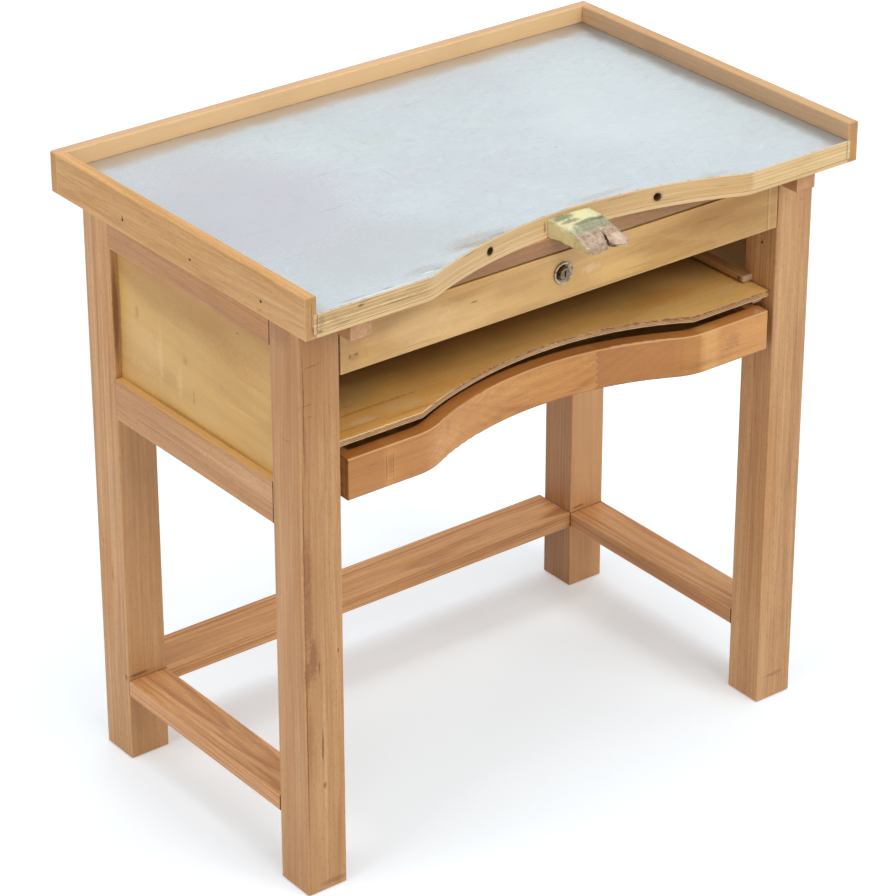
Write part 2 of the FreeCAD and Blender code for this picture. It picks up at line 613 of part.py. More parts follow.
def make_leg(end, side):
    """A square leg with the mortises and grooves of its corner."""
    front = end == "front"
    leg_y = ("front_leg_near", "front_leg_far") if front else ("back_leg_near", "back_leg_far")
    body = board("leg_%s_%s" % (end, side), across(side, "leg_in", "leg_out"), leg_y, ("0", "leg_height"))
    soften(body, "Fillet", "leg_arris", long_arrises("z"), "arrises")
    soften(body, "Chamfer", "min(foot_chamfer, leg_arris * 0.9)",
           lambda edge, limits: near(edge.BoundBox.ZMax, limits.ZMin), "foot")

    def inner_y(length):
        if front:
            return "front_leg_far - %s - end_gap" % length, "front_leg_far"
        return "back_leg_near", "back_leg_near + %s + end_gap" % length

    def inner_x(length):
        return across(side, "leg_in", "leg_in + %s + end_gap" % length)

    rail_x = across(side, *grown(RAIL_TENON_X))
    stretcher_x = across(side, *grown(SIDE_STRETCHER_TENON_X))
    box(body, "Subtractive", "top_mortise", rail_x, inner_y("tenon_length"), grown(TOP_TENON_Z))
    box(body, "Subtractive", "lower_mortise", rail_x, inner_y("tenon_length"), grown(LOWER_TENON_Z))
    box(body, "Subtractive", "stretcher_mortise", stretcher_x, inner_y("tenon_length"),
        grown(STRETCHER_TENON_Z))
    box(body, "Subtractive", "panel_slot", across(side, *grown(PANEL_X)), inner_y("panel_groove"),
        grown(PANEL_Z, "end_gap"))
    if front:
        box(body, "Subtractive", "front_rail_mortise", inner_x("tenon_length"), grown(FRONT_RAIL_TENON_Y),
            grown(FRONT_RAIL_TENON_Z))
    else:
        box(body, "Subtractive", "back_top_mortise", inner_x("tenon_length"), grown(BACK_TENON_Y),
            grown(TOP_TENON_Z))
        box(body, "Subtractive", "back_lower_mortise", inner_x("tenon_length"), grown(BACK_TENON_Y),
            grown(LOWER_TENON_Z))
        box(body, "Subtractive", "back_stretcher_mortise", inner_x("tenon_length"),
            grown(BACK_STRETCHER_TENON_Y), grown(STRETCHER_TENON_Z))
        box(body, "Subtractive", "back_panel_slot", inner_x("panel_groove"), grown(BACK_PANEL_Y),
            grown(PANEL_Z, "end_gap"))
    for name, setback, inner, level in STRIPS:
        where = strip_screws(setback, level)[0 if front else 1]
        at = (mirrored(side, "leg_in"),) + where
        depth = "screw_length - (leg_in - (%s)) + end_gap" % inner
        bore(body, name + "_screw_hole", "screw_shank + 2 * screw_gap", depth, at, -inwards(side))
    if front and side == RIGHT:
        at = ("leg_in", "front_leg_near + peg_hole_setback", "leg_height - peg_hole_drop")
        bore(body, "peg_hole", "peg_hole", "peg_hole_depth", at, X_AXIS)


def make_side(side):
    """Two rails, the panel between them and the stretcher of one side."""
    rail_x = across(side, "rail_in", "leg_out")
    tenon_x = across(side, *RAIL_TENON_X)
    groove_x = across(side, *grown(PANEL_X))
    rails = (
        ("top", TOP_RAIL_Z, TOP_TENON_Z, ("top_rail_bottom", "panel_top + end_gap")),
        ("lower", LOWER_RAIL_Z, LOWER_TENON_Z, ("panel_bottom - end_gap", "lower_rail_level")),
    )
    for name, rail_z, tenon_z, groove_z in rails:
        body = board("%s_side_rail_%s" % (name, side), rail_x, BETWEEN_LEGS_Y, rail_z)
        soften(body, "Fillet", "arris", long_arrises("y"))
        box(body, "Additive", "tenons", tenon_x, SIDE_TENONS_Y, tenon_z)
        box(body, "Subtractive", "groove", groove_x, BETWEEN_LEGS_Y, groove_z)
    panel_y = ("front_leg_far - panel_groove", "back_leg_near + panel_groove")
    board("side_panel_" + side, across(side, *PANEL_X), panel_y, PANEL_Z)
    body = board("side_stretcher_" + side, across(side, "leg_in", "leg_out"), BETWEEN_LEGS_Y, STRETCHER_Z)
    soften(body, "Fillet", "arris", long_arrises("y"))
    box(body, "Additive", "tenons", across(side, *SIDE_STRETCHER_TENON_X), SIDE_TENONS_Y, STRETCHER_TENON_Z)


def make_back():
    """The back's rails, panel and stretcher."""
    rails = (
        ("top", TOP_RAIL_Z, TOP_TENON_Z, ("top_rail_bottom", "panel_top + end_gap")),
        ("lower", LOWER_RAIL_Z, LOWER_TENON_Z, ("panel_bottom - end_gap", "lower_rail_level")),
    )
    for name, rail_z, tenon_z, groove_z in rails:
        body = board("back_%s_rail" % name, ACROSS_LEGS_X, ("back_rail_near", "back_leg_far"), rail_z)
        soften(body, "Fillet", "arris", long_arrises("x"))
        box(body, "Additive", "tenons", ACROSS_TENONS_X, BACK_TENON_Y, tenon_z)
        box(body, "Subtractive", "groove", ACROSS_LEGS_X, grown(BACK_PANEL_Y), groove_z)
    board("back_panel", ACROSS_GROOVES_X, BACK_PANEL_Y, PANEL_Z)
    body = board("back_stretcher", ACROSS_LEGS_X, ("back_leg_near", "back_stretcher_far"), STRETCHER_Z)
    soften(body, "Fillet", "arris", long_arrises("x"))
    box(body, "Additive", "tenons", ACROSS_TENONS_X, BACK_STRETCHER_TENON_Y, STRETCHER_TENON_Z)


def make_front_rail():
    """The thin rail over the upper drawer, with a slot in its underside for the lock's cam."""
    body = board("front_rail", ACROSS_LEGS_X, ("front_leg_near", "front_rail_far"),
                 ("front_rail_bottom", "leg_height"))
    soften(body, "Fillet", "arris", long_arrises("x"))
    box(body, "Additive", "tenons", ACROSS_TENONS_X, FRONT_RAIL_TENON_Y, FRONT_RAIL_TENON_Z)
    box(body, "Subtractive", "cam_slot",
        ("lock_offset - cam_width / 2 - cam_gap", "lock_offset + cam_reach + cam_gap"),
        ("cam_near - cam_gap", "cam_far + cam_gap"),
        ("lock_level", "lock_level + cam_reach + cam_gap"))


# ---------------------------------------------------------------------------------------------------------
# Top
# ---------------------------------------------------------------------------------------------------------

def drill_for_top_screws(body):
    """Holes for the screws that come up from the strips below."""
    depth = "top_screw_length - front_rail_height + end_gap"
    for side in SIDES:
        for i, (x, y) in enumerate(top_screw_places()):
            at = (mirrored(side, x), y, "leg_height")
            bore(body, "%s_screw_hole_%d" % (side, i + 1), "screw_shank + 2 * screw_gap", depth, at, Z_AXIS)


def nail_places():
    """Each rim nail's rim, its place on the rim's outer face, and the direction it is driven in."""
    places = []
    for side in SIDES:
        for i in range(int(number("side_nails"))):
            y = "front_edge + side_nail_first + side_nail_pitch * %d" % i
            places.append((side, (mirrored(side, "top_width / 2"), y, "nail_level"), inwards(side)))
    count = int(number("back_nails"))
    for i in range(count):
        x = "back_nail_pitch * %s" % (i - (count - 1) / 2)
        places.append(("back", (x, "back_edge", "nail_level"), -Y_AXIS))
    return places


def make_top():
    """Plywood, the board under it and the zinc sheet on it, all with the same curve in front."""
    body = curved_board("bench_top", "front_edge", "ply_edge", "ply_back - front_edge", BELLY,
                        "ply_bottom", "ply_thickness")
    box(body, "Subtractive", "pin_slot", *PIN_SLOT)
    for side in SIDES:
        at = (mirrored(side, "accessory_hole_offset"), "front_edge", "leg_height + accessory_hole_rise")
        bore(body, "accessory_hole_" + side, "accessory_hole", "belly_depth + accessory_hole_depth", at,
             Y_AXIS)
    drill_for_top_screws(body)
    for i, (rim, at, direction) in enumerate(nail_places()):
        bore(body, "%s_nail_hole_%d" % (rim, i + 1), "nail_shank + 2 * screw_gap", "nail_length + end_gap",
             at, direction)

    body = curved_board("top_underlay", "front_edge", "rim_in", "rim_back_in - front_edge", BELLY,
                        "leg_height", "underlay_thickness")
    box(body, "Subtractive", "pin_slot", *PIN_SLOT)
    drill_for_top_screws(body)

    curved_board("zinc_sheet", "front_edge + zinc_setback", "rim_in",
                 "rim_back_in - front_edge - zinc_setback",
                 ("belly_span", "belly_depth", "belly_shoulder - zinc_setback"), "ply_top", "zinc_thickness")


def make_rims():
    """Rim boards that take the plywood's edges in a groove. The back one runs over the side ones' ends."""
    def side_edges(edge, limits):
        return near(edge.BoundBox.ZMin, limits.ZMax) and not near(edge.BoundBox.YMin, limits.YMax)

    def back_edges(edge, limits):
        upright_behind = is_along(edge, "z") and near(edge.BoundBox.YMin, limits.YMax)
        return near(edge.BoundBox.ZMin, limits.ZMax) or upright_behind

    def drill(body, rim):
        for i, (where, at, direction) in enumerate(nail_places()):
            if where == rim:
                bore(body, "nail_hole_%d" % (i + 1), "nail_shank + 2 * screw_gap", "nail_length", at,
                     direction)
                bore(body, "nail_seat_%d" % (i + 1), "nail_head + 2 * screw_gap", "nail_head_thickness",
                     at, direction)

    rim_z = ("leg_height", "bench_height")
    ply_z = ("ply_bottom", "ply_top")
    rim_y = ("front_edge", "rim_back_in")
    for side in SIDES:
        body = board("rim_" + side, across(side, "rim_in", "top_width / 2"), rim_y, rim_z)
        soften(body, "Fillet", "rim_round", side_edges)
        box(body, "Subtractive", "ply_groove", across(side, "rim_in", "ply_edge"), rim_y, ply_z)
        drill(body, side)
    body = board("rim_back", ("-top_width / 2", "top_width / 2"), ("rim_back_in", "back_edge"), rim_z)
    soften(body, "Fillet", "rim_round", back_edges)
    box(body, "Subtractive", "ply_groove", ("-ply_edge", "ply_edge"), ("rim_back_in", "ply_back"), ply_z)
    drill(body, "back")


def make_blocks():
    """Blocks glued under the front overhang."""
    for side in SIDES:
        body = board("overhang_block_" + side,
                     across(side, "block_middle - block_width / 2", "block_middle + block_width / 2"),
                     ("front_edge + block_setback", "front_edge + block_setback + block_depth"),
                     ("front_rail_bottom", "leg_height"))
        soften(body, "Fillet", "drawer_arris", lambda edge, limits: near(edge.BoundBox.ZMax, limits.ZMin))


def make_pin():
    """The bench pin: a wedge with a tail in the top's slot and a V notch between two rounded prongs."""
    body = new_body("bench_pin")
    sketch = sketch_on(body, "bench_pin_profile", "YZ_Plane", ("tip_edge", "pin_bottom", "-pin_width / 2"))
    length, height = "pin_slot_back - pin_gap - tip_edge", "pin_top - pin_bottom"
    back, top = number(length), number(height)
    tail_front = back - number("pin_tail")
    bend = (number("pin_bend"), number("pin_bend_thickness"))
    tip = (0, number("pin_tip_thickness"))
    profile = ((0, 0), (back, 0), (back, top), (tail_front, top), bend, tip)
    corners = [FreeCAD.Vector(u, v, 0) for u, v in profile]
    for i in range(len(corners)):
        sketch.addGeometry(Part.LineSegment(corners[i], corners[(i + 1) % len(corners)]))
    for i in range(len(corners)):
        sketch.addConstraint(Sketcher.Constraint("Coincident", i, 2, (i + 1) % len(corners), 1))
    for kind, line in (("Horizontal", 0), ("Vertical", 1), ("Horizontal", 2), ("Vertical", 5)):
        sketch.addConstraint(Sketcher.Constraint(kind, line))
    sketch.addConstraint(Sketcher.Constraint("Coincident", 0, 1, -1, 1))
    constrain(sketch, "length", "DistanceX", 0, 1, 0, 2, length)
    constrain(sketch, "height", "DistanceY", 1, 1, 1, 2, height)
    constrain(sketch, "tail", "DistanceX", 2, 2, 2, 1, "pin_tail")
    constrain(sketch, "bend", "DistanceX", 5, 2, 3, 2, "pin_bend")
    constrain(sketch, "bend_height", "DistanceY", 5, 2, 3, 2, "pin_bend_thickness")
    constrain(sketch, "tip", "DistanceY", 5, 2, 5, 1, "pin_tip_thickness")
    pad(body, "bench_pin_wedge", sketch, "pin_width")

    notch = sketch_on(body, "bench_pin_notch_outline", "XY_Plane", ("notch_offset", "tip_edge", "pin_bottom"))
    half, depth = number("notch_mouth / 2"), number("notch_depth")
    points = [FreeCAD.Vector(u, v, 0) for u, v in ((-half, 0), (half, 0), (0, depth))]
    for i in range(3):
        notch.addGeometry(Part.LineSegment(points[i], points[(i + 1) % 3]))
    for i in range(3):
        notch.addConstraint(Sketcher.Constraint("Coincident", i, 2, (i + 1) % 3, 1))
    notch.addConstraint(Sketcher.Constraint("Symmetric", 0, 1, 0, 2, -2))
    notch.addConstraint(Sketcher.Constraint("PointOnObject", 0, 1, -1))
    notch.addConstraint(Sketcher.Constraint("PointOnObject", 1, 2, -2))
    constrain(notch, "mouth", "DistanceX", 0, 1, 0, 2, "notch_mouth")
    constrain(notch, "depth", "DistanceY", 0, 1, 1, 2, "notch_depth")
    pocket = body.newObject("PartDesign::Pocket", "bench_pin_notch")
    pocket.Profile = notch
    pocket.Reversed = True
    bind(pocket, "Length", "pin_top - pin_bottom")
    soften(body, "Fillet", "prong_round",
           lambda edge, limits: is_along(edge, "z") and near(edge.BoundBox.YMin, limits.YMin), "prongs")


def make_nails():
    """Nails through the rims into the plywood's edge."""
    nails = []
    for i, (rim, at, direction) in enumerate(nail_places()):
        name = "rim_nail_%d" % (i + 1)
        shank = cylinder(name + "_shank", "nail_shank", "nail_length")
        head = cylinder(name + "_head", "nail_head", "nail_head_thickness")
        nails.append(joined(name, [shank, head]))
        place(nails[-1], at, direction)
    group("rim_nails", nails)


# ---------------------------------------------------------------------------------------------------------
# Screws and other turned pieces
# ---------------------------------------------------------------------------------------------------------

def cylinder(name, diameter, height):
    """A cylinder standing on its own origin."""
    solid = doc.addObject("Part::Cylinder", name)
    bind(solid, "Radius", "(%s) / 2" % diameter)
    bind(solid, "Height", height)
    return solid


def cone(name, first, second, height):
    """A cone standing on its own origin, from one diameter to another."""
    solid = doc.addObject("Part::Cone", name)
    bind(solid, "Radius1", "(%s) / 2" % first)
    bind(solid, "Radius2", "(%s) / 2" % second)
    bind(solid, "Height", height)
    return solid


def block(name, x, y, z):
    """A box over three ranges."""
    solid = doc.addObject("Part::Box", name)
    place(solid, (x[0], y[0], z[0]))
    for side, span in zip(("Length", "Width", "Height"), (x, y, z)):
        bind(solid, side, "(%s) - (%s)" % (span[1], span[0]))
    return solid


def joined(name, solids):
    """Several solids fused into one."""
    fuse = doc.addObject("Part::MultiFuse", name)
    fuse.Shapes = solids
    return fuse


def less(name, base, tool):
    """One solid with another cut out of it."""
    cut = doc.addObject("Part::Cut", name)
    cut.Base = base
    cut.Tool = tool
    return cut


def group(label, solids):
    """Like pieces that share one node, each a solid of its own."""
    compound = doc.addObject("Part::Compound", label)
    compound.Links = solids
    keep(compound, label)


def wood_screw(name, at, direction, length, shank="screw_shank", head="screw_head"):
    """A countersunk screw with a slotted head, its head's face at a point, driven along a direction."""
    slot = block(name + "_slot", ("-(%s)" % head, head), ("-screw_slot / 2", "screw_slot / 2"),
                 ("0", "screw_slot"))
    whole = joined(name + "_blank", [
        cylinder(name + "_shank", shank, length),
        cone(name + "_head", head, shank, "screw_head_height"),
    ])
    screw = less(name, whole, slot)
    place(screw, at, direction)
    return screw


# ---------------------------------------------------------------------------------------------------------
# Runners and kickers
# ---------------------------------------------------------------------------------------------------------

def make_strips():
    """Runners and kickers along the inner faces of the legs, each held by a screw into each leg."""
    screws = []
    for name, setback, inner, level in STRIPS:
        for side in SIDES:
            body = board("%s_%s" % (name, side), across(side, inner, "leg_in"),
                         ("front_leg_near + " + setback, "runner_back"), level)
            soften(body, "Chamfer", "drawer_arris", long_arrises("y"))
            for i, (y, z) in enumerate(strip_screws(setback, level)):
                at = (mirrored(side, "(%s)" % inner), y, z)
                bore(body, "screw_hole_%d" % i, "screw_shank + 2 * screw_gap", "leg_in - (%s)" % inner, at,
                     -inwards(side))
                countersink(body, "screw_seat_%d" % i, at, -inwards(side))
                screw_name = "%s_screw_%s_%d" % (name, side, i)
                screws.append(wood_screw(screw_name, at, -inwards(side), "screw_length"))
    group("runner_screws", screws)

    screws = []
    for side in SIDES:
        body = board("drawer_kicker_" + side, across(side, *RUNNER_X), ("front_rail_far", "runner_back"),
                     ("front_rail_bottom", "leg_height"))
        soften(body, "Chamfer", "drawer_arris", long_arrises("y"))
        for i, (x, y) in enumerate(top_screw_places()):
            at = (mirrored(side, x), y, "front_rail_bottom")
            bore(body, "screw_hole_%d" % i, "screw_shank + 2 * screw_gap", "front_rail_height", at, Z_AXIS)
            countersink(body, "screw_seat_%d" % i, at, Z_AXIS)
            screws.append(wood_screw("top_screw_%s_%d" % (side, i), at, Z_AXIS, "top_screw_length"))
    group("top_screws", screws)


# ---------------------------------------------------------------------------------------------------------
# Upper drawer and its lock
# ---------------------------------------------------------------------------------------------------------

LOCK_SCREWS_X = ("lock_offset - lock_screw_pitch / 2", "lock_offset + lock_screw_pitch / 2")


def make_upper_drawer():
    """A plain box: front with rebated ends, two sides, a back and a bottom that slides into grooves."""
    floor_z = ("upper_floor", "upper_floor + drawer_bottom_thickness")
    groove_x = ("-(upper_in + drawer_bottom_groove)", "upper_in + drawer_bottom_groove")
    body = board("upper_drawer_front", ("-upper_out", "upper_out"), ("front_leg_near", "upper_front_far"),
                 ("upper_bottom", "drawer_front_top"))
    soften(body, "Fillet", "drawer_arris", lambda edge, limits: near(edge.BoundBox.YMax, limits.YMin))
    box(body, "Subtractive", "floor_groove", groove_x,
        ("upper_front_far - drawer_bottom_groove - end_gap", "upper_front_far"), grown(floor_z))
    for side in SIDES:
        box(body, "Subtractive", "rebate_" + side, across(side, "upper_in", "upper_out"),
            ("front_leg_near + drawer_lap", "upper_front_far"), ("upper_bottom", "upper_side_top"))
    bore(body, "lock_hole", "lock_barrel + 2 * glue_gap", "upper_front_thickness",
         ("lock_offset", "front_leg_near", "lock_level"), Y_AXIS)
    for i, x in enumerate(LOCK_SCREWS_X):
        at = (x, "upper_front_far", "lock_level")
        bore(body, "lock_screw_hole_%d" % i, "lock_screw_shank + 2 * screw_gap",
             "lock_screw_length - lock_flange_thickness + end_gap", at, -Y_AXIS)

    side_y = ("front_leg_near + drawer_lap", "upper_back")
    for side in SIDES:
        body = board("upper_drawer_side_" + side, across(side, "upper_in", "upper_out"), side_y,
                     ("upper_bottom", "upper_side_top"))
        box(body, "Subtractive", "floor_groove",
            across(side, "upper_in", "upper_in + drawer_bottom_groove + glue_gap"), side_y, grown(floor_z))
    board("upper_drawer_back", ("-upper_in", "upper_in"), ("upper_back - upper_side_thickness", "upper_back"),
          (floor_z[1] + " + glue_gap", "upper_side_top"))
    board("upper_drawer_bottom", groove_x, ("upper_front_far - drawer_bottom_groove", "upper_back"), floor_z)


def make_lock():
    """A cam lock: ring and barrel in the drawer front, a plug that turns in them, and its cam."""
    axis = ("lock_offset", "front_leg_near", "lock_level")

    def turned(name, diameter, first, last):
        """A cylinder on the lock's axis, between two y values."""
        solid = cylinder(name, diameter, "(%s) - (%s)" % (last, first))
        place(solid, (axis[0], first, axis[2]), Y_AXIS)
        return solid

    ring_front = "front_leg_near - lock_ring_thickness"
    disc = turned("lock_ring_disc", "lock_ring_diameter", ring_front, axis[1])
    dish = cone("lock_ring_dish", "lock_ring_mouth", "plug_diameter + 2 * plug_gap", "lock_ring_thickness")
    place(dish, (axis[0], ring_front, axis[2]), Y_AXIS)
    dished = less("lock_ring_blank", disc, dish)
    doc.recompute()
    ring = doc.addObject("Part::Fillet", "lock_ring")
    ring.Base = dished
    rim_edges = [i + 1 for i, edge in enumerate(dished.Shape.Edges)
                 if near(edge.BoundBox.YMax, number(ring_front)) and edge.BoundBox.XLength > 1]
    radius = number("lock_ring_thickness / 4")
    ring.Edges = [(i, radius, radius) for i in rim_edges]
    keep(ring, "lock_ring")

    barrel = turned("lock_barrel", "lock_barrel", axis[1], "lock_barrel_far")
    flange = block("lock_flange",
                   ("lock_offset - lock_flange_width / 2", "lock_offset + lock_flange_width / 2"),
                   ("upper_front_far", "lock_flange_far"),
                   ("lock_level - lock_flange_height / 2", "lock_level + lock_flange_height / 2"))
    holes = [turned("lock_plug_hole", "plug_shaft + 2 * plug_gap", axis[1], "lock_barrel_far")]
    for i, x in enumerate(LOCK_SCREWS_X):
        seat = cone("lock_screw_seat_%d" % i, "lock_screw_head + 2 * screw_gap",
                    "lock_screw_shank + 2 * screw_gap", "lock_flange_thickness")
        place(seat, (x, "lock_flange_far", "lock_level"), -Y_AXIS)
        holes.append(seat)
    body = less("lock_body", joined("lock_body_blank", [barrel, flange]), joined("lock_body_holes", holes))
    keep(body, "lock_body")

    head = turned("plug_head", "plug_diameter", "front_leg_near - plug_proud", "front_leg_near - plug_gap")
    shaft = turned("plug_shaft_part", "plug_shaft", "front_leg_near - plug_proud", "cam_near")
    tail = block("plug_tail_part", ("lock_offset - plug_tail / 2", "lock_offset + plug_tail / 2"),
                 ("cam_near - glue_gap", "cam_far"),
                 ("lock_level - plug_tail / 2", "lock_level + plug_tail / 2"))
    keyhole = block("keyhole", ("lock_offset - keyhole_width / 2", "lock_offset + keyhole_width / 2"),
                    ("front_leg_near - plug_proud", "front_leg_near - plug_proud + keyhole_depth"),
                    ("lock_level - keyhole_height / 2", "lock_level + keyhole_height / 2"))
    screw_hole = turned("plug_screw_hole", "cam_screw_shank + 2 * screw_gap",
                        "cam_far - cam_screw_length - end_gap", "cam_far")
    whole = joined("plug_blank", [head, shaft, tail])
    keep(less("lock_plug", whole, joined("plug_cuts", [keyhole, screw_hole])), "lock_plug")

    body = board("lock_cam", ("lock_offset - cam_width / 2", "lock_offset + cam_length"),
                 ("cam_near", "cam_far"), ("lock_level - cam_width / 2", "lock_level + cam_width / 2"))
    soften(body, "Fillet", "cam_corner", lambda edge, limits: is_along(edge, "y"), "corners")
    box(body, "Subtractive", "square_hole",
        grown(("lock_offset - plug_tail / 2", "lock_offset + plug_tail / 2"), "screw_gap"),
        ("cam_near", "cam_far"),
        grown(("lock_level - plug_tail / 2", "lock_level + plug_tail / 2"), "screw_gap"))

    screw = joined("cam_screw", [
        turned("cam_screw_shank_part", "cam_screw_shank", "cam_far - cam_screw_length", "cam_far"),
        turned("cam_screw_head_part", "cam_screw_head", "cam_far", "cam_far + cam_screw_head_height"),
    ])
    keep(screw, "cam_screw")

    group("lock_screws", [
        wood_screw("lock_screw_%d" % i, (x, "lock_flange_far", "lock_level"), -Y_AXIS, "lock_screw_length",
                   "lock_screw_shank", "lock_screw_head")
        for i, x in enumerate(LOCK_SCREWS_X)
    ])


# ---------------------------------------------------------------------------------------------------------
# Tray and lower drawer
# ---------------------------------------------------------------------------------------------------------

def make_tray():
    """A plywood board with a curved front."""
    body = curved_board("tray_board", "tray_front", "upper_out", "tray_back - tray_front",
                        ("tray_span", "tray_curve_depth", "tray_shoulder"), "tray_bottom", "tray_thickness")
    soften(body, "Fillet", "arris", front_top_edge)


def make_lower_drawer():
    """A drawer with a front sawn to a curve, hung on battens by grooves in its sides."""
    floor_z = ("lower_floor", "lower_floor + drawer_bottom_thickness")
    front_y = "front_leg_near + lower_front_thickness"
    inner_curve = ("lower_span", "lower_curve_depth", "lower_shoulder - lower_front_thickness")
    groove_curve = ("lower_span", "lower_curve_depth",
                    "lower_shoulder - lower_front_thickness + drawer_bottom_groove")
    floor_x = "lower_in + drawer_bottom_groove"
    deep = "lower_curve_depth + lower_front_thickness"

    outer_curve = ("lower_span", "lower_curve_depth", "lower_shoulder")
    body = curved_board("lower_drawer_front", "front_leg_near", "lower_out", deep, outer_curve,
                        "lower_bottom", "lower_front_height")
    soften(body, "Fillet", "lower_round", front_corners)
    cut_behind(body, "hollow", front_y, "lower_out + end_gap", deep, inner_curve, "lower_bottom",
               "lower_front_height")
    cut_behind(body, "floor_groove", "%s - drawer_bottom_groove - glue_gap" % front_y, floor_x, deep,
               groove_curve, "lower_floor - glue_gap", "drawer_bottom_thickness + 2 * glue_gap")
    for side in SIDES:
        box(body, "Subtractive", "rebate_" + side, across(side, "lower_in", "lower_out"),
            ("front_leg_near + drawer_lap", front_y), ("lower_bottom", "lower_side_top"))

    side_y = ("front_leg_near + drawer_lap", "lower_back")
    for side in SIDES:
        body = board("lower_drawer_side_" + side, across(side, "lower_in", "lower_out"), side_y,
                     ("lower_bottom", "lower_side_top"))
        box(body, "Subtractive", "slide_groove", across(side, "slide_in", "lower_out"),
            ("front_leg_near + batten_setback - end_gap", "lower_back"), ("slide_bottom", "slide_top"))
        box(body, "Subtractive", "floor_groove",
            across(side, "lower_in", "lower_in + drawer_bottom_groove + glue_gap"), side_y, grown(floor_z))
    board("lower_drawer_back", ("-lower_in", "lower_in"), ("lower_back - lower_back_thickness", "lower_back"),
          (floor_z[1] + " + glue_gap", "lower_side_top"))
    start = "%s - drawer_bottom_groove" % front_y
    curved_board("lower_drawer_bottom", start, floor_x, "lower_back - (%s)" % start, groove_curve,
                 "lower_floor", "drawer_bottom_thickness")


def export_parts():
    """Check every object, then write each sub-part to its own file."""
    doc.recompute()
    failed = [thing.Name for thing in doc.Objects if {"Invalid", "Error"} & set(thing.State)]
    for thing in parts:
        if thing.Shape.isNull() or not thing.Shape.isValid() or not thing.Shape.Solids:
            failed.append(thing.Label + " (shape)")
    if failed:
        raise RuntimeError("these failed: " + ", ".join(failed))
    os.makedirs("parts", exist_ok=True)
    for thing in parts:
        thing.Shape.exportStep("parts/%s.step" % thing.Label)
    print("%d parts written" % len(parts))


fill_sheet()
for leg_end in ("front", "back"):
    for leg_side in SIDES:
        make_leg(leg_end, leg_side)
for bench_side in SIDES:
    make_side(bench_side)
make_back()
make_front_rail()
make_top()
make_rims()
make_blocks()
make_pin()
make_nails()
make_strips()
make_upper_drawer()
make_lock()
make_tray()
make_lower_drawer()
export_parts()
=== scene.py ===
"""Finishes, worn pieces and studio for a jewelers bench.

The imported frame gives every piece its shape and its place, in metres with +Z up. This file gives each piece
the look of its wood, plywood or metal, makes the bench pin and the tray with the wear that work has left on
them, and sets up a plain studio.
"""

import math
import random
from typing import NamedTuple

import bpy
from bpy.props import FloatProperty, FloatVectorProperty, PointerProperty
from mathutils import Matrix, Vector, noise


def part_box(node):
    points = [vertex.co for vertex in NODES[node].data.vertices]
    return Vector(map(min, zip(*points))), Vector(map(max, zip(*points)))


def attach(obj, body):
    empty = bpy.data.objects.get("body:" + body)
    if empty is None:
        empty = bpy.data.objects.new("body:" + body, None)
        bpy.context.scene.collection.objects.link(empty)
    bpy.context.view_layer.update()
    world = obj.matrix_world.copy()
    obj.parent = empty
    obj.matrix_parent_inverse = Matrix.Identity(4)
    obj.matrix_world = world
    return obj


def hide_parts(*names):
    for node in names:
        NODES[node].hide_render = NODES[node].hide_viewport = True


bl_info = {
    "name": "Jewelers bench",
    "version": (1, 0, 0),
    "blender": (4, 5, 0),
    "location": "View3D > Sidebar > Bench",
    "description": "Finishes, worn pieces and studio for a jewelers bench",
    "category": "Object",
}

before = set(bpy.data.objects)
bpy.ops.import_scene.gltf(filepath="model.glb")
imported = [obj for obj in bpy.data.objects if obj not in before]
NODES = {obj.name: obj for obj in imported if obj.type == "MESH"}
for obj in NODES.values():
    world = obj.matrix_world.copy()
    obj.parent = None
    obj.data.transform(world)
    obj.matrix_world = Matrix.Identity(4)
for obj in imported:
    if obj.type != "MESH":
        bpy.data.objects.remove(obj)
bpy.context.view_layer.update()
SIDES = ("left", "right")


# ---------------------------------------------------------------------------------------------------------
# Colours and sizes that a user may change
# ---------------------------------------------------------------------------------------------------------

def from_screen(*levels):
    """A colour given as it shows on a screen, 0 to 255, in Blender's linear values."""
    shares = [level / 255 for level in levels]
    return tuple(s / 12.92 if s <= 0.04045 else ((s + 0.055) / 1.055) ** 2.4 for s in shares)


def colour(name, description, *levels):
    return FloatVectorProperty(name=name, description=description, subtype="COLOR", min=0, max=1,
                               default=from_screen(*levels))


def distance(name, description, default):
    return FloatProperty(name=name, description=description, subtype="DISTANCE", unit="LENGTH", min=0,
                         default=default)


def amount(name, description, default, highest=1.0):
    return FloatProperty(name=name, description=description, min=0, max=highest, default=default)


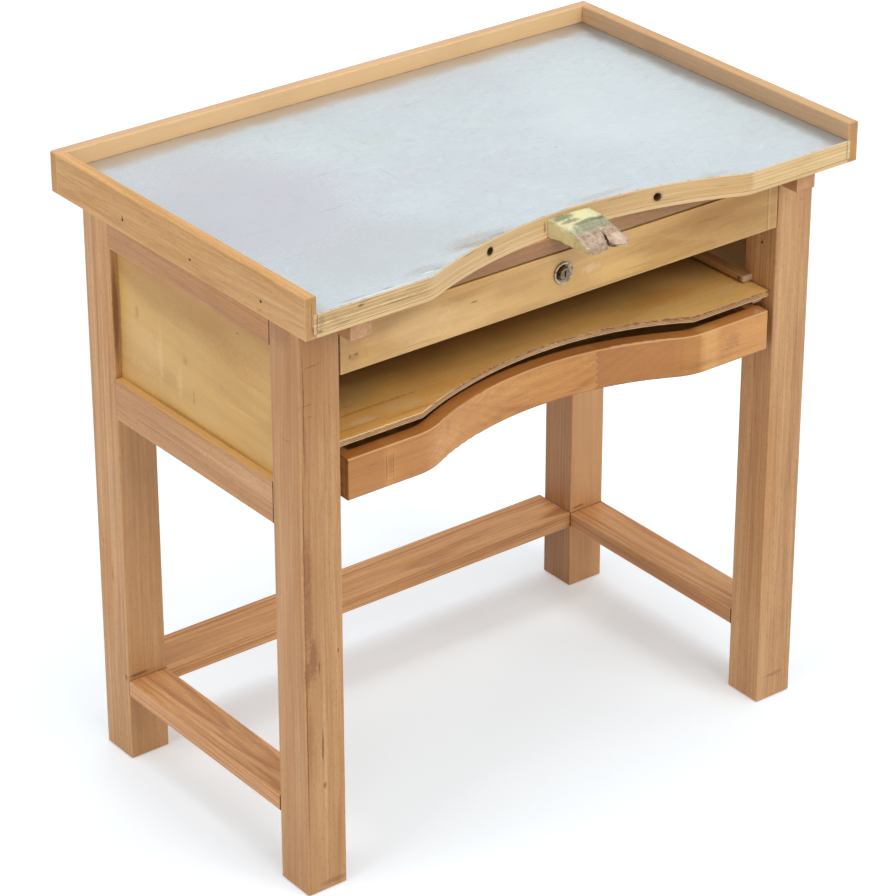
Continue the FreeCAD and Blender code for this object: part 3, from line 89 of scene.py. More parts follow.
class BenchColours(bpy.types.PropertyGroup):
    """Colours of the woods, the plywood and the metals"""

    leg_light: colour("Legs", "Pale wood of the legs", 214, 168, 118)
    leg_dark: colour("Legs' grain", "Dark grain of the legs", 170, 120, 76)
    rail_light: colour("Rails", "Pale wood of the rails", 204, 156, 108)
    rail_dark: colour("Rails' grain", "Dark grain of the rails", 162, 112, 70)
    leg_warm: colour("Warm wood", "Warmer patches in legs and rails", 196, 142, 86)
    stretcher_warm: colour("Stretchers' patches", "Warmer patches in the stretchers", 204, 142, 80)
    rim_warm: colour("Rims' patches", "Warmer patches in the rims", 206, 158, 98)
    panel_warm: colour("Veneer patches", "Warmer patches in veneer", 214, 166, 92)
    curved_warm: colour("Lower drawer's patches", "Warmer patches in lower drawer and tray", 208, 142, 78)
    stretcher_light: colour("Stretchers", "Pale wood of the stretchers", 236, 184, 128)
    stretcher_dark: colour("Stretchers' grain", "Dark grain of the stretchers", 184, 126, 80)
    rim_light: colour("Rims", "Pale wood of the rim boards", 214, 168, 112)
    rim_dark: colour("Rims' grain", "Dark grain of the rim boards", 172, 124, 72)
    panel_light: colour("Panels", "Pale veneer of the panels", 210, 170, 104)
    panel_dark: colour("Panels' grain", "Dark figure of the panels", 186, 142, 82)
    front_light: colour("Upper drawer", "Pale wood of the upper drawer's front", 224, 182, 122)
    front_dark: colour("Upper drawer's grain", "Dark figure of that front", 178, 134, 76)
    curved_light: colour("Lower drawer", "Pale wood of the lower drawer's front", 222, 160, 88)
    curved_dark: colour("Lower drawer's grain", "Dark grain of that front", 168, 107, 52)
    tray_light: colour("Tray", "Pale veneer of the tray", 252, 215, 138)
    tray_dark: colour("Tray's grain", "Dark figure of the tray", 250, 192, 106)
    block_light: colour("Blocks", "Wood of the blocks under the overhang", 232, 190, 150)
    box_light: colour("Drawer boxes", "Pale wood of sides, backs and runners", 208, 168, 118)
    box_dark: colour("Drawer boxes' grain", "Dark grain of sides, backs and runners", 170, 126, 80)
    ply_light: colour("Plywood edge", "Layers that show their long grain", 230, 198, 148)
    ply_dark: colour("Plywood end layers", "Layers that show their end grain", 188, 149, 94)
    ply_glue: colour("Plywood glue", "Lines between the layers", 122, 88, 50)
    tray_layer: colour("Tray's layers", "Pale layers in the tray's edge", 228, 182, 124)
    pin_light: colour("Pin", "Bare wood of the bench pin", 216, 208, 162)
    pin_dark: colour("Pin's grain", "Grain of the bench pin", 184, 164, 112)
    pin_smear: colour("Pin's smears", "Metal dust rubbed into the pin", 126, 132, 108)
    pin_tip: colour("Pin's prongs", "Worn wood of the prongs", 188, 162, 142)
    zinc: colour("Zinc", "Zinc sheet", 199, 209, 213)
    zinc_worn: colour("Worn zinc", "Rubbed and scuffed zinc", 184, 194, 200)
    steel: colour("Steel", "Screws and nails", 150, 146, 140)
    chrome: colour("Chrome", "Ring of the lock", 168, 153, 130)
    # Dark marks, knots and joints, and also the tint of painted shadow lines under the front rail and along
    # the overhang blocks
    dirt_and_shade: colour("Dirt", "Dark marks, knots and joints", 94, 56, 26)


class BenchWear(bpy.types.PropertyGroup):
    """Sizes of layers, grain and wear"""

    top_layer: distance("Top's layer", "Thickness of a layer in the plywood top", 0.0027)
    thin_layer: distance("Thin layer", "Thickness of a layer in tray and panels", 0.0019)
    # Reach of the lighter edges: rubbed wear and a painted highlight along the arrises
    arris_wear_and_highlight: distance("Rubbed edge", "How far the wear reaches in from an edge", 0.0035)
    grain_depth: distance("Grain depth", "Relief of the wood grain", 0.00012)
    tray_bite: distance("Tray's bites", "How deep the tray's front edge is chipped", 0.0016)
    pin_relief: distance("Pin's relief", "How uneven saw and file have made the pin", 0.0011)
    pin_cell: distance("Pin's cell", "Size of the faces that the pin is carved from", 0.0009)


class BenchStudio(bpy.types.PropertyGroup):
    """Lamps, floor and camera"""

    top_lamp: amount("Top lamp", "Power of the lamp over the bench, in watts", 262, 1000)
    front_lamp: amount("Front lamp", "Power of the lamp in front of the bench, in watts", 200, 1000)
    side_lamp: amount("Side lamp", "Power of the lamp at the left of the bench, in watts", 142, 1000)
    surround: amount("Surround", "Strength of the white surround", 0.27, 4)
    floor_glow: amount("Floor glow", "White that the floor shows of its own to the camera", 0.26)
    lens: FloatProperty(name="Lens", description="Focal length of the camera, in millimetres",
                        default=144.7)
    shift: FloatProperty(name="Shift", description="Rise of the camera's picture", default=-0.0893)
    turn: FloatProperty(name="Turn", description="Camera's turn about the bench", subtype="ANGLE",
                        default=math.radians(-37.71))
    tilt: FloatProperty(name="Tilt", description="Camera's tilt down", subtype="ANGLE",
                        default=math.radians(26.49))
    place: FloatVectorProperty(name="Camera", description="Where the camera stands", subtype="TRANSLATION",
                               unit="LENGTH", default=(-2.8236, -3.6219, 2.8774))


def colours():
    return bpy.context.scene.bench_colours


def wear():
    return bpy.context.scene.bench_wear


def studio():
    return bpy.context.scene.bench_studio


# ---------------------------------------------------------------------------------------------------------
# Nodes
# ---------------------------------------------------------------------------------------------------------

class Tree:
    """Adds nodes to a material or a group. A value is a number, a tuple or another node's output."""

    def __init__(self, tree):
        self.tree = tree

    def join(self, value, socket):
        if isinstance(value, bpy.types.NodeSocket):
            self.tree.links.new(value, socket)
        elif socket.type == "RGBA":
            socket.default_value = (*value[:3], 1.0)
        else:
            socket.default_value = value

    def add(self, kind, inputs=None, **settings):
        node = self.tree.nodes.new("ShaderNode" + kind)
        for name, value in settings.items():
            setattr(node, name, value)
        for socket, value in (inputs or {}).items():
            self.join(value, node.inputs[socket])
        return node

    def math(self, operation, first, second=0.0, clamp=False):
        return self.add("Math", {0: first, 1: second}, operation=operation, use_clamp=clamp).outputs[0]

    def times(self, first, second):
        return self.math("MULTIPLY", first, second)

    def plus(self, first, second):
        return self.math("ADD", first, second)

    def minus(self, first, second):
        return self.math("SUBTRACT", first, second)

    def clamped(self, value):
        return self.math("ADD", value, 0.0, clamp=True)

    def centred(self, value, strength):
        """A value about 0.5 moved to about zero and scaled."""
        return self.times(self.minus(value, 0.5), strength)

    def vector(self, operation, first, second=(0.0, 0.0, 0.0)):
        node = self.add("VectorMath", {0: first, 1: second}, operation=operation)
        return node.outputs["Value" if operation == "LENGTH" else "Vector"]

    def scaled(self, vector, factor):
        return self.add("VectorMath", {0: vector, "Scale": factor}, operation="SCALE").outputs[0]

    def noise(self, vector, detail, roughness, output=0):
        inputs = {"Vector": vector, "Scale": 1.0, "Detail": detail, "Roughness": roughness}
        return self.add("TexNoise", inputs).outputs[output]

    def stretched(self, vector, scale, detail=2.0, roughness=0.5, output=0):
        """Noise with one scale, or with its own along each axis, in waves per metre."""
        if not isinstance(scale, tuple):
            scale = (scale, scale, scale)
        return self.noise(self.vector("MULTIPLY", vector, scale), detail, roughness, output)

    def step(self, value, low, high):
        """0 below low and 1 above high, or the other way round if low is the larger."""
        inputs = {"Value": value, "From Min": low, "From Max": high}
        return self.add("MapRange", inputs, interpolation_type="SMOOTHSTEP").outputs[0]

    def mix(self, share, first, second, blend="MIX"):
        node = self.add("Mix", data_type="RGBA", blend_type=blend)
        for socket, value in ((node.inputs[0], share), (node.inputs[6], first), (node.inputs[7], second)):
            self.join(value, socket)
        return node.outputs[2]

    def mapped(self, vector, shift, turn):
        """A vector turned and then shifted."""
        return self.add("Mapping", {"Vector": vector, "Location": shift, "Rotation": turn}).outputs[0]

    def split(self, vector):
        return self.add("SeparateXYZ", {0: vector}).outputs

    def total(self, *values):
        result = values[0]
        for value in values[1:]:
            result = self.plus(result, value)
        return result


def emptied(owner):
    """The node tree of a material or a world, with nothing in it."""
    owner.use_nodes = True
    owner.node_tree.nodes.clear()
    return Tree(owner.node_tree)


SOCKETS = {"vector": "NodeSocketVector", "colour": "NodeSocketColor", "number": "NodeSocketFloat"}


def new_group(name, inputs, outputs):
    """A node group with the given sockets: its tree, its inputs by name and its output node."""
    group = bpy.data.node_groups.new(name, "ShaderNodeTree")
    for direction, sockets in (("INPUT", inputs), ("OUTPUT", outputs)):
        for label, kind in sockets.items():
            group.interface.new_socket(label, in_out=direction, socket_type=SOCKETS[kind])
    tree = Tree(group)
    start = group.nodes.new("NodeGroupInput")
    end = group.nodes.new("NodeGroupOutput")
    return tree, {label: start.outputs[label] for label in inputs}, end


def use_group(tree, name, inputs):
    node = tree.add("Group", node_tree=bpy.data.node_groups[name])
    for label, value in inputs.items():
        tree.join(value, node.inputs[label])
    return node.outputs


def make_wood_group():
    """Solid wood. X of the vector runs along the grain and the heart of the tree lies on the X axis."""
    tree, given, end = new_group(
        "Grained wood",
        {"Vector": "vector", "Light": "colour", "Dark": "colour", "Warm": "colour", "Ring Width": "number",
         "Rings": "number", "Waves": "number", "Streaks": "number", "Flecks": "number", "Clouds": "number"},
        {"Color": "colour", "Height": "number", "Cloud": "number"})
    place = given["Vector"]
    wander = tree.vector("SUBTRACT", tree.stretched(place, (1.6, 7, 7), 2, 0.45, output=1), (0.5, 0.5, 0.5))
    wander = tree.vector("MULTIPLY", wander, (0, 1, 1))
    bent = tree.vector("ADD", place, tree.scaled(wander, given["Waves"]))
    radius = tree.vector("LENGTH", tree.vector("MULTIPLY", bent, (0, 1, 1)))
    rings = tree.math("DIVIDE", radius, given["Ring Width"])
    years = tree.add("CombineXYZ", {0: tree.times(rings, 0.37)}).outputs[0]
    uneven = tree.noise(years, 1, 0.6)
    phase = tree.math("FRACT", tree.plus(rings, tree.times(uneven, 0.8)))
    late = tree.times(tree.step(phase, 0.25, 0.9), tree.step(phase, 1.0, 0.93))
    late = tree.times(late, tree.step(uneven, 0.25, 0.7))
    bands = tree.stretched(bent, (1.3, 62, 62), 3, 0.55)
    streaks = tree.stretched(bent, (4.5, 230, 230), 3, 0.6)
    fibre = tree.stretched(bent, (14, 620, 620), 3, 0.62)
    fine = tree.stretched(bent, (45, 1900, 1900), 2, 0.6)
    cloud = tree.stretched(place, (2.6, 13, 13), 3, 0.5)
    pores = tree.step(tree.stretched(bent, (130, 1150, 1150), 1, 0.5), 0.6, 0.7)
    lines = tree.total(tree.centred(bands, 1.5), tree.centred(streaks, 1.25), tree.centred(fibre, 1.2),
                       tree.centred(fine, 0.6))
    dark = tree.total(
        0.38,
        tree.times(tree.times(late, given["Rings"]), 0.75),
        tree.times(lines, given["Streaks"]),
        tree.centred(cloud, tree.times(given["Clouds"], 3.2)))
    wood = tree.mix(tree.clamped(dark), given["Light"], given["Dark"])
    hue = tree.step(tree.stretched(place, (3.1, 30, 30), 3, 0.55), 0.42, 0.68)
    wood = tree.mix(tree.times(hue, 0.4), wood, given["Warm"])
    deep = tree.mix(1.0, given["Dark"], (0.6, 0.52, 0.45), "MULTIPLY")
    wood = tree.mix(tree.times(pores, given["Flecks"]), wood, deep)
    height = tree.total(
        tree.times(fibre, 0.6),
        tree.times(fine, 0.4),
        tree.times(pores, -0.5),
        tree.times(late, -0.25))
    tree.join(wood, end.inputs["Color"])
    tree.join(height, end.inputs["Height"])
    tree.join(cloud, end.inputs["Cloud"])


def make_ply_group():
    """Edge of plywood. Level is the height over its lower face, in metres. Crisp brings the layers out."""
    tree, given, end = new_group(
        "Plies",
        {"Vector": "vector", "Level": "number", "Layer": "number", "Crisp": "number", "Light": "colour",
         "Dark": "colour", "Glue": "colour"},
        {"Color": "colour"})
    wobble = tree.times(tree.stretched(given["Vector"], (7, 7, 0), 2), 0.35)
    layers = tree.plus(tree.math("DIVIDE", given["Level"], given["Layer"]), wobble)
    index = tree.math("FLOOR", layers)
    phase = tree.math("FRACT", layers)
    across = tree.step(tree.math("MODULO", index, 2.0), 0.4, 0.6)
    tint = tree.add("TexWhiteNoise", {"W": index}, noise_dimensions="1D").outputs["Value"]
    streaks = tree.stretched(given["Vector"], (15, 15, 1500), 3, 0.6)
    thin = tree.stretched(given["Vector"], (30, 30, 3600), 2, 0.6)
    dots = tree.stretched(given["Vector"], (700, 700, 900), 2, 0.6)
    cloud = tree.stretched(given["Vector"], (9, 9, 90), 3, 0.5)
    crisp = tree.times(given["Crisp"], 0.5)
    long_dark = tree.total(tree.times(streaks, 1.5), tree.times(thin, 0.5), tree.times(tint, 0.35), -0.95)
    end_dark = tree.total(tree.times(dots, 0.6), tree.times(streaks, 0.8),
                          tree.times(tint, 0.3), tree.times(crisp, 0.8), -0.6)
    both = tree.add("Mix", {0: across, 2: long_dark, 3: end_dark}, data_type="FLOAT").outputs[0]
    both = tree.total(both, tree.times(tree.minus(cloud, 0.4), 0.9))
    wood = tree.mix(tree.clamped(both), given["Light"], given["Dark"])
    line = tree.times(tree.step(phase, 0.26, 0.06), tree.step(tint, 0.0, 0.5))
    patchy = tree.step(tree.stretched(given["Vector"], (16, 16, 120), 2), 0.3, 0.58)
    line = tree.times(tree.times(line, patchy), given["Crisp"])
    tree.join(tree.mix(tree.times(line, 0.9), wood, given["Glue"]), end.inputs["Color"])


def make_mark_group():
    """A soft, ragged spot or line of another colour. Size is its reach from its middle along each axis."""
    tree, given, end = new_group(
        "Mark",
        {"Color": "colour", "Vector": "vector", "At": "vector", "Size": "vector", "Tint": "colour",
         "Strength": "number", "Ragged": "number"},
        {"Color": "colour"})
    wander = tree.stretched(given["Vector"], 38, 3, 0.6, output=1)
    wander = tree.vector("SUBTRACT", wander, (0.5, 0.5, 0.5))
    wander = tree.vector("MULTIPLY", wander, (0.003, 0.003, 0.003))
    bent = tree.vector("ADD", given["Vector"], wander)
    away = tree.vector("DIVIDE", tree.vector("SUBTRACT", bent, given["At"]), given["Size"])
    rough = tree.centred(tree.stretched(given["Vector"], 210, 3, 0.65), given["Ragged"])
    reach = tree.plus(tree.vector("LENGTH", away), rough)
    mask = tree.times(tree.step(reach, 1.0, 0.35), given["Strength"])
    tree.join(tree.mix(mask, given["Color"], given["Tint"]), end.inputs["Color"])


def make_arris_group():
    """1 at a board's long edges, falling to 0 over the width. Middle and Half give the board's box."""
    tree, given, end = new_group(
        "Arris",
        {"Vector": "vector", "Middle": "vector", "Half": "vector", "Width": "number"},
        {"Mask": "number"})
    off_middle = tree.vector("ABSOLUTE", tree.vector("SUBTRACT", given["Vector"], given["Middle"]))
    x, y, z = tree.split(tree.vector("SUBTRACT", given["Half"], off_middle))
    pairs = [tree.math("MAXIMUM", first, second) for first, second in ((x, y), (y, z), (x, z))]
    nearest = tree.math("MINIMUM", tree.math("MINIMUM", pairs[0], pairs[1]), pairs[2])
    rough = tree.centred(tree.stretched(given["Vector"], 60, 3, 0.6), 0.006)
    nearest = tree.plus(nearest, rough)
    tree.join(tree.step(nearest, given["Width"], 0.0), end.inputs["Mask"])


# ---------------------------------------------------------------------------------------------------------
# Finishes
# ---------------------------------------------------------------------------------------------------------

MM = 0.001
TURNS = {"x": (0.0, 0.0, 0.0), "y": (0.0, 0.0, -math.pi / 2), "z": (0.0, math.pi / 2, 0.0)}


class Wood(NamedTuple):
    """Colours and figure of a wood: ring width, then how strong rings, waves and the rest show."""
    light: tuple
    dark: tuple
    warm: tuple
    ring: float = 0.0032
    rings: float = 0.45
    waves: float = 0.010
    streaks: float = 1.0
    flecks: float = 0.45
    clouds: float = 0.35
    roughness: float = 0.5


class Mark(NamedTuple):
    """A spot or a line: its middle and its reach along each axis, in millimetres, and its screen colour."""
    at: tuple
    size: tuple
    strength: float = 0.8
    tint: tuple = None
    ragged: float = 0.7


class Seam(NamedTuple):
    """A dark joint line where a piece meets its neighbour, in millimetres along an axis."""
    axis: str
    at: float
    width: float = 1.0
    strength: float = 0.75


def woods():
    """Every wood of the bench by name."""
    c = colours()
    return {
        "leg": Wood(c.leg_light, c.leg_dark, c.leg_warm, 0.0065, 0.40, 0.014, 0.9, 0.4, 0.30),
        "rail": Wood(c.rail_light, c.rail_dark, c.leg_warm, 0.0040, 0.40, 0.010, 0.9, 0.5, 0.35),
        "stretcher": Wood(c.stretcher_light, c.stretcher_dark, c.stretcher_warm, 0.0050, 0.9, 0.014, 0.9,
                          0.3, 0.3),
        "rim": Wood(c.rim_light, c.rim_dark, c.rim_warm, 0.0034, 0.35, 0.008, 0.85, 0.35, 0.3),
        "panel": Wood(c.panel_light, c.panel_dark, c.panel_warm, 0.0160, 0.12, 0.080, 0.24, 0.1, 0.9),
        "front": Wood(c.front_light, c.front_dark, c.panel_warm, 0.0130, 0.30, 0.060, 0.36, 0.12, 0.75,
                      0.44),
        "curved": Wood(c.curved_light, c.curved_dark, c.curved_warm, 0.0060, 0.30, 0.016, 0.55, 0.3, 0.4,
                       0.45),
        "tray": Wood(c.tray_light, c.tray_dark, c.tray_dark, 0.0100, 0.26, 0.050, 0.8, 0.3, 0.7, 0.42),
        "block": Wood(c.block_light, c.leg_dark, c.leg_warm, 0.0030, 0.35, 0.010, 0.9, 0.5, 0.3, 0.55),
        "box": Wood(c.box_light, c.box_dark, c.stretcher_warm, 0.0036, 0.40, 0.012, 1.0, 0.3, 0.35, 0.6),
    }


def node_box(name):
    """Middle and half size of a CAD node."""
    low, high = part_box(name)
    return (low + high) / 2, (high - low) / 2


class Finish:
    """A material under way: its place nodes, its colour and its relief so far."""

    def __init__(self, name):
        self.material = bpy.data.materials.new(name)
        self.tree = emptied(self.material)
        coordinates = self.tree.add("TexCoord")
        self.place = coordinates.outputs["Object"]
        self.axes = self.tree.split(self.place)
        self.normal = self.tree.split(coordinates.outputs["Normal"])
        self.colour = (0.5, 0.5, 0.5)
        self.height = 0.0
        self.roughness = 0.5

    def along(self, axis):
        return self.axes["xyz".index(axis)]

    def facing(self, axis):
        return self.normal["xyz".index(axis)]

    def noise(self, scale, detail=2.0, roughness=0.5):
        return self.tree.stretched(self.place, scale, detail, roughness)

    def patches(self, scale, detail, roughness, low, high):
        """Noise cut off to patches: 0 where it is below low and 1 above high."""
        return self.tree.step(self.noise(scale, detail, roughness), low, high)

    def fade(self, axis, start, full, base=0.0):
        """0 at start and 1 at full, in metres along an axis from a base."""
        return self.tree.step(self.along(axis), base + start, base + full)

    def grain(self, wood, name, along, heart, lean=(0.0, 0.0)):
        """Lay a wood's grain along an axis, with the heart of the tree beside the middle of the piece."""
        chance = random.Random(name)
        middle = node_box(name)[0]
        off_middle = self.tree.vector("SUBTRACT", self.place, tuple(middle))
        turned = self.tree.mapped(off_middle, (0.0, 0.0, 0.0), TURNS[along])
        spot = self.tree.mapped(turned, (chance.uniform(-3, 3), *heart), (0.0, *lean))
        made = use_group(self.tree, "Grained wood", {
            "Vector": spot, "Light": wood.light, "Dark": wood.dark, "Warm": wood.warm,
            "Ring Width": wood.ring, "Rings": wood.rings, "Waves": wood.waves, "Streaks": wood.streaks,
            "Flecks": wood.flecks, "Clouds": wood.clouds})
        self.colour = made["Color"]
        self.height = made["Height"]
        self.roughness = self.tree.plus(self.tree.centred(made["Cloud"], 0.5), wood.roughness)
        ends = self.tree.math("ABSOLUTE", self.facing(along))
        self.paint(self.tree.step(ends, 0.75, 0.95), wood.dark, 0.45)

    def paint(self, mask, tint, strength=1.0):
        """Lay a colour over the surface where the mask is 1."""
        if strength != 1.0:
            mask = self.tree.times(mask, strength)
        self.colour = self.tree.mix(mask, self.colour, tint)

    def rub_and_highlight(self, name, tint, strength):
        """Colour the long edges of a piece where hands and tools have rubbed them, which also paints a
        highlight along the arrises.
        """
        middle, half = node_box(name)
        mask = use_group(self.tree, "Arris", {"Vector": self.place, "Middle": tuple(middle),
                                              "Half": tuple(half), "Width": wear().arris_wear_and_highlight})
        self.paint(mask["Mask"], tint, strength)

    def mark(self, marks):
        """Paint spots, lines and joint seams."""
        for mark in marks:
            if isinstance(mark, Seam):
                self.seam(mark)
                continue
            tint = from_screen(*mark.tint) if mark.tint else colours().dirt_and_shade
            made = use_group(self.tree, "Mark", {
                "Color": self.colour, "Vector": self.place, "At": [MM * part for part in mark.at],
                "Size": [MM * part for part in mark.size], "Tint": tint, "Strength": mark.strength,
                "Ragged": mark.ragged})
            self.colour = made["Color"]

    def seam(self, seam):
        off = self.tree.math("ABSOLUTE", self.tree.minus(self.along(seam.axis), seam.at * MM))
        uneven = self.patches(50, 3, 0.6, 0.25, 0.6)
        width = self.tree.times(self.tree.plus(uneven, 0.4), seam.width * MM)
        line = self.tree.step(self.tree.math("DIVIDE", off, width), 1.0, 0.3)
        self.paint(line, colours().dirt_and_shade, seam.strength)

    def band(self, axis, low, high, tint, strength, soft=0.6, ragged=2.0):
        """Tint a piece between two planes, in millimetres, with slightly ragged limits."""
        rough = self.tree.centred(self.noise(25), ragged * MM)
        value = self.tree.plus(self.along(axis), rough)
        rising = self.tree.step(value, (low - soft) * MM, (low + soft) * MM)
        falling = self.tree.step(value, (high + soft) * MM, (high - soft) * MM)
        self.paint(self.tree.times(rising, falling), tint, strength)

    def face(self, axis, sign, tint, strength):
        """Tint the faces that look along an axis."""
        towards = self.tree.times(self.facing(axis), sign)
        self.paint(self.tree.step(towards, 0.5, 0.9), tint, strength)

    def plies(self, level, layer, crisp, light, dark):
        """Show layers on every upright face."""
        made = use_group(self.tree, "Plies", {
            "Vector": self.place, "Level": level, "Layer": layer, "Crisp": crisp, "Light": light,
            "Dark": dark, "Glue": colours().ply_glue})
        self.paint(self.tree.step(self.tree.math("ABSOLUTE", self.facing("z")), 0.75, 0.55), made["Color"])

    def grime(self, strength, tint=None):
        """Soft handling grime in patches."""
        patches = self.patches(7, 4, 0.62, 0.5, 0.8)
        self.paint(patches, tint or colours().dirt_and_shade, strength)

    def close(self, relief=None, metallic=0.0, coat=0.0, gloss=0.35):
        """Join colour, roughness and relief to the shader."""
        bump = self.tree.add("Bump", {"Height": self.height, "Strength": 1.0,
                                      "Distance": wear().grain_depth if relief is None else relief})
        shader = self.tree.add("BsdfPrincipled", {
            "Base Color": self.colour, "Roughness": self.roughness, "Metallic": metallic,
            "Coat Weight": coat, "Coat Roughness": 0.3, "Specular IOR Level": gloss,
            "Normal": bump.outputs[0]})
        self.tree.add("OutputMaterial", {"Surface": shader.outputs[0]})
        return self.material


def give(name, material):
    """Put a material on every slot of a CAD node."""
    piece = NODES[name]
    if not piece.material_slots:
        piece.data.materials.append(material)
    for slot in piece.material_slots:
        slot.material = material


def board(name, wood, along, heart=(0.09, 0.03), lean=(0.0, 0.0), marks=(), edge=0.35, coat=0.03, bands=(),
          faces=()):
    """Finish a CAD board in a wood."""
    kind = woods()[wood]
    finish = Finish(name + "_finish")
    finish.grain(kind, name, along, heart, lean)
    for face in faces:
        finish.face(*face)
    for band in bands:
        finish.band(*band)
    finish.grime(0.10)
    # Lighter long edges: rubbed wear and a painted highlight
    finish.rub_and_highlight(name, kind.light, edge)
    finish.mark(marks)
    give(name, finish.close(coat=coat))


# ---------------------------------------------------------------------------------------------------------
# Places shared by the pieces, in millimetres
# ---------------------------------------------------------------------------------------------------------

def end_of(name, corner, axis):
    """Where a piece ends along an axis. Corner 0 is its low end and corner 1 its high end."""
    return round(getattr(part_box(name)[corner], axis) / MM, 1)


FRONT = end_of("leg_front_left", 0, "y")
LIP = end_of("bench_top", 0, "y")
OUTSIDE = end_of("leg_front_right", 1, "x")
INNER_LEG = end_of("leg_front_right", 0, "x")
FRONT_SHOULDER = end_of("leg_front_left", 1, "y")
BACK_SHOULDER = end_of("leg_back_left", 0, "y")
PANEL = end_of("side_panel_right", 1, "x")
RIM = end_of("rim_right", 1, "x")
ZINC = end_of("zinc_sheet", 1, "z")
TRAY = end_of("tray_board", 1, "z")


# ---------------------------------------------------------------------------------------------------------
# Pieces
# ---------------------------------------------------------------------------------------------------------

class MakeNodeGroups(bpy.types.Operator):
    """Make the node groups that the finishes share"""
    bl_idname = "bench.node_groups"
    bl_label = "Node groups"

    def execute(self, context):
        make_wood_group()
        make_ply_group()
        make_mark_group()
        make_arris_group()
        return {"FINISHED"}


class FinishLegs(bpy.types.Operator):
    """Finish the four legs"""
    bl_idname = "bench.legs"
    bl_label = "Legs"

    def execute(self, context):
        dark = colours().leg_dark
        brown = (146, 92, 56)
        dim = (128, 84, 54)
        front_left = (
            Mark((-441.5, FRONT, 750), (1.3, 3, 115), 0.7, ragged=0.5),
            Mark((-445.0, FRONT, 520), (1.3, 3, 190), 0.7, ragged=0.5),
            Mark((-445.0, FRONT, 250), (1.3, 3, 215), 0.75, ragged=0.5),
            Mark((-427, FRONT, 814), (14, 3, 1.3), 0.5),
            Mark((-436, FRONT, 760), (13, 3, 1.2), 0.55),
            Mark((-432, FRONT, 742), (8, 3, 1.0), 0.4),
            Mark((-424, FRONT, 362), (1.5, 3, 16), 0.7),
            Mark((-420, FRONT, 236), (1.8, 3, 34), 0.8),
            Mark((-392, FRONT, 377), (2.5, 3, 5), 0.7),
            Mark((-418, FRONT, 172), (4, 3, 7), 0.6),
            # Painted shade on the front face at the top, under the overhang
            Mark((-428, FRONT, 868), (26, 3, 22), 0.4, (128, 88, 60), 1.4),
            Mark((-433, FRONT, 378), (9, 3, 46), 0.7, (140, 88, 50), 1.1),
            Mark((-442, FRONT, 357), (9, 3, 26), 0.6, (134, 84, 50), 1.1),
            Mark((-439, FRONT, 450), (8, 3, 74), 0.45, brown, 1.4),
            Mark((-441, FRONT, 520), (9, 3, 66), 0.5, brown, 1.2),
            Mark((-440, FRONT, 250), (5, 3, 80), 0.4, brown, 1.4),
            Mark((-412, FRONT, 540), (2, 3, 90), 0.2, (150, 96, 60), 1.4),
            # Painted shade on the left face at the top, under the overhang
            Mark((-OUTSIDE, -195, 858), (3, 34, 34), 0.4, (128, 86, 54), 1.4),
            Mark((-440, FRONT, 700), (5, 3, 60), 0.3, dim, 1.2),
            Mark((-440, FRONT, 480), (5, 3, 130), 0.25, dim, 1.2),
            Mark((-405, FRONT, 12), (30, 4, 6), 0.35),
            Mark((-OUTSIDE, -205, 700), (3, 12, 1.4), 0.3),
        )
        board("leg_front_left", "leg", "z", (0.13, 0.05), (0.006, 0.012), front_left,
              # The band from 740 to 900 is painted shade darkening the leg's top, under the overhang
              bands=(("x", -452, -417.5, dark, 0.28, 1.5, 4), ("z", 740, 900, dark, 0.35, 60, 40),
                     ("z", -10, 100, dark, 0.15, 60, 40)))
        front_right = (
            Mark((384, -231, 731), (1.6, 6, 8), 0.8),
            Mark((415, FRONT, 40), (24, 3, 5), 0.3),
            Mark((INNER_LEG, -200, 560), (3, 2, 30), 0.35),
        )
        board("leg_front_right", "leg", "z", (0.16, 0.02), (0.006, 0.006), front_right)
        back_left = (
            # Painted shade in the reveal, on the leg's face beside the panel
            Mark((-442, BACK_SHOULDER, 725), (7, 3, 104), 0.7, (112, 74, 44), 0.3),
            Mark((-446, 215, 138), (4, 6, 8), 0.8),
            Mark((-430, BACK_SHOULDER, 140), (24, 3, 4), 0.6),
            Mark((-OUTSIDE, 240, 300), (3, 3, 18), 0.35),
        )
        board("leg_back_left", "leg", "z", (0.10, 0.07), (0.004, 0.010), back_left,
              # The front face is painted lighter: painted light
              bands=(("y", 240, 280, dark, 0.12),), faces=(("y", -1, from_screen(228, 180, 130), 0.3),))
        board("leg_back_right", "leg", "z", (0.14, 0.04), (0.006, 0.004),
              (Mark((400, BACK_SHOULDER, 140), (18, 3, 3), 0.5),),
              # Painted light and shade: the front face lighter, the inner face darker as in shade under the
              # bench
              faces=(("y", -1, from_screen(236, 182, 128), 0.45), ("x", -1, from_screen(134, 84, 54), 0.4)))
        return {"FINISHED"}


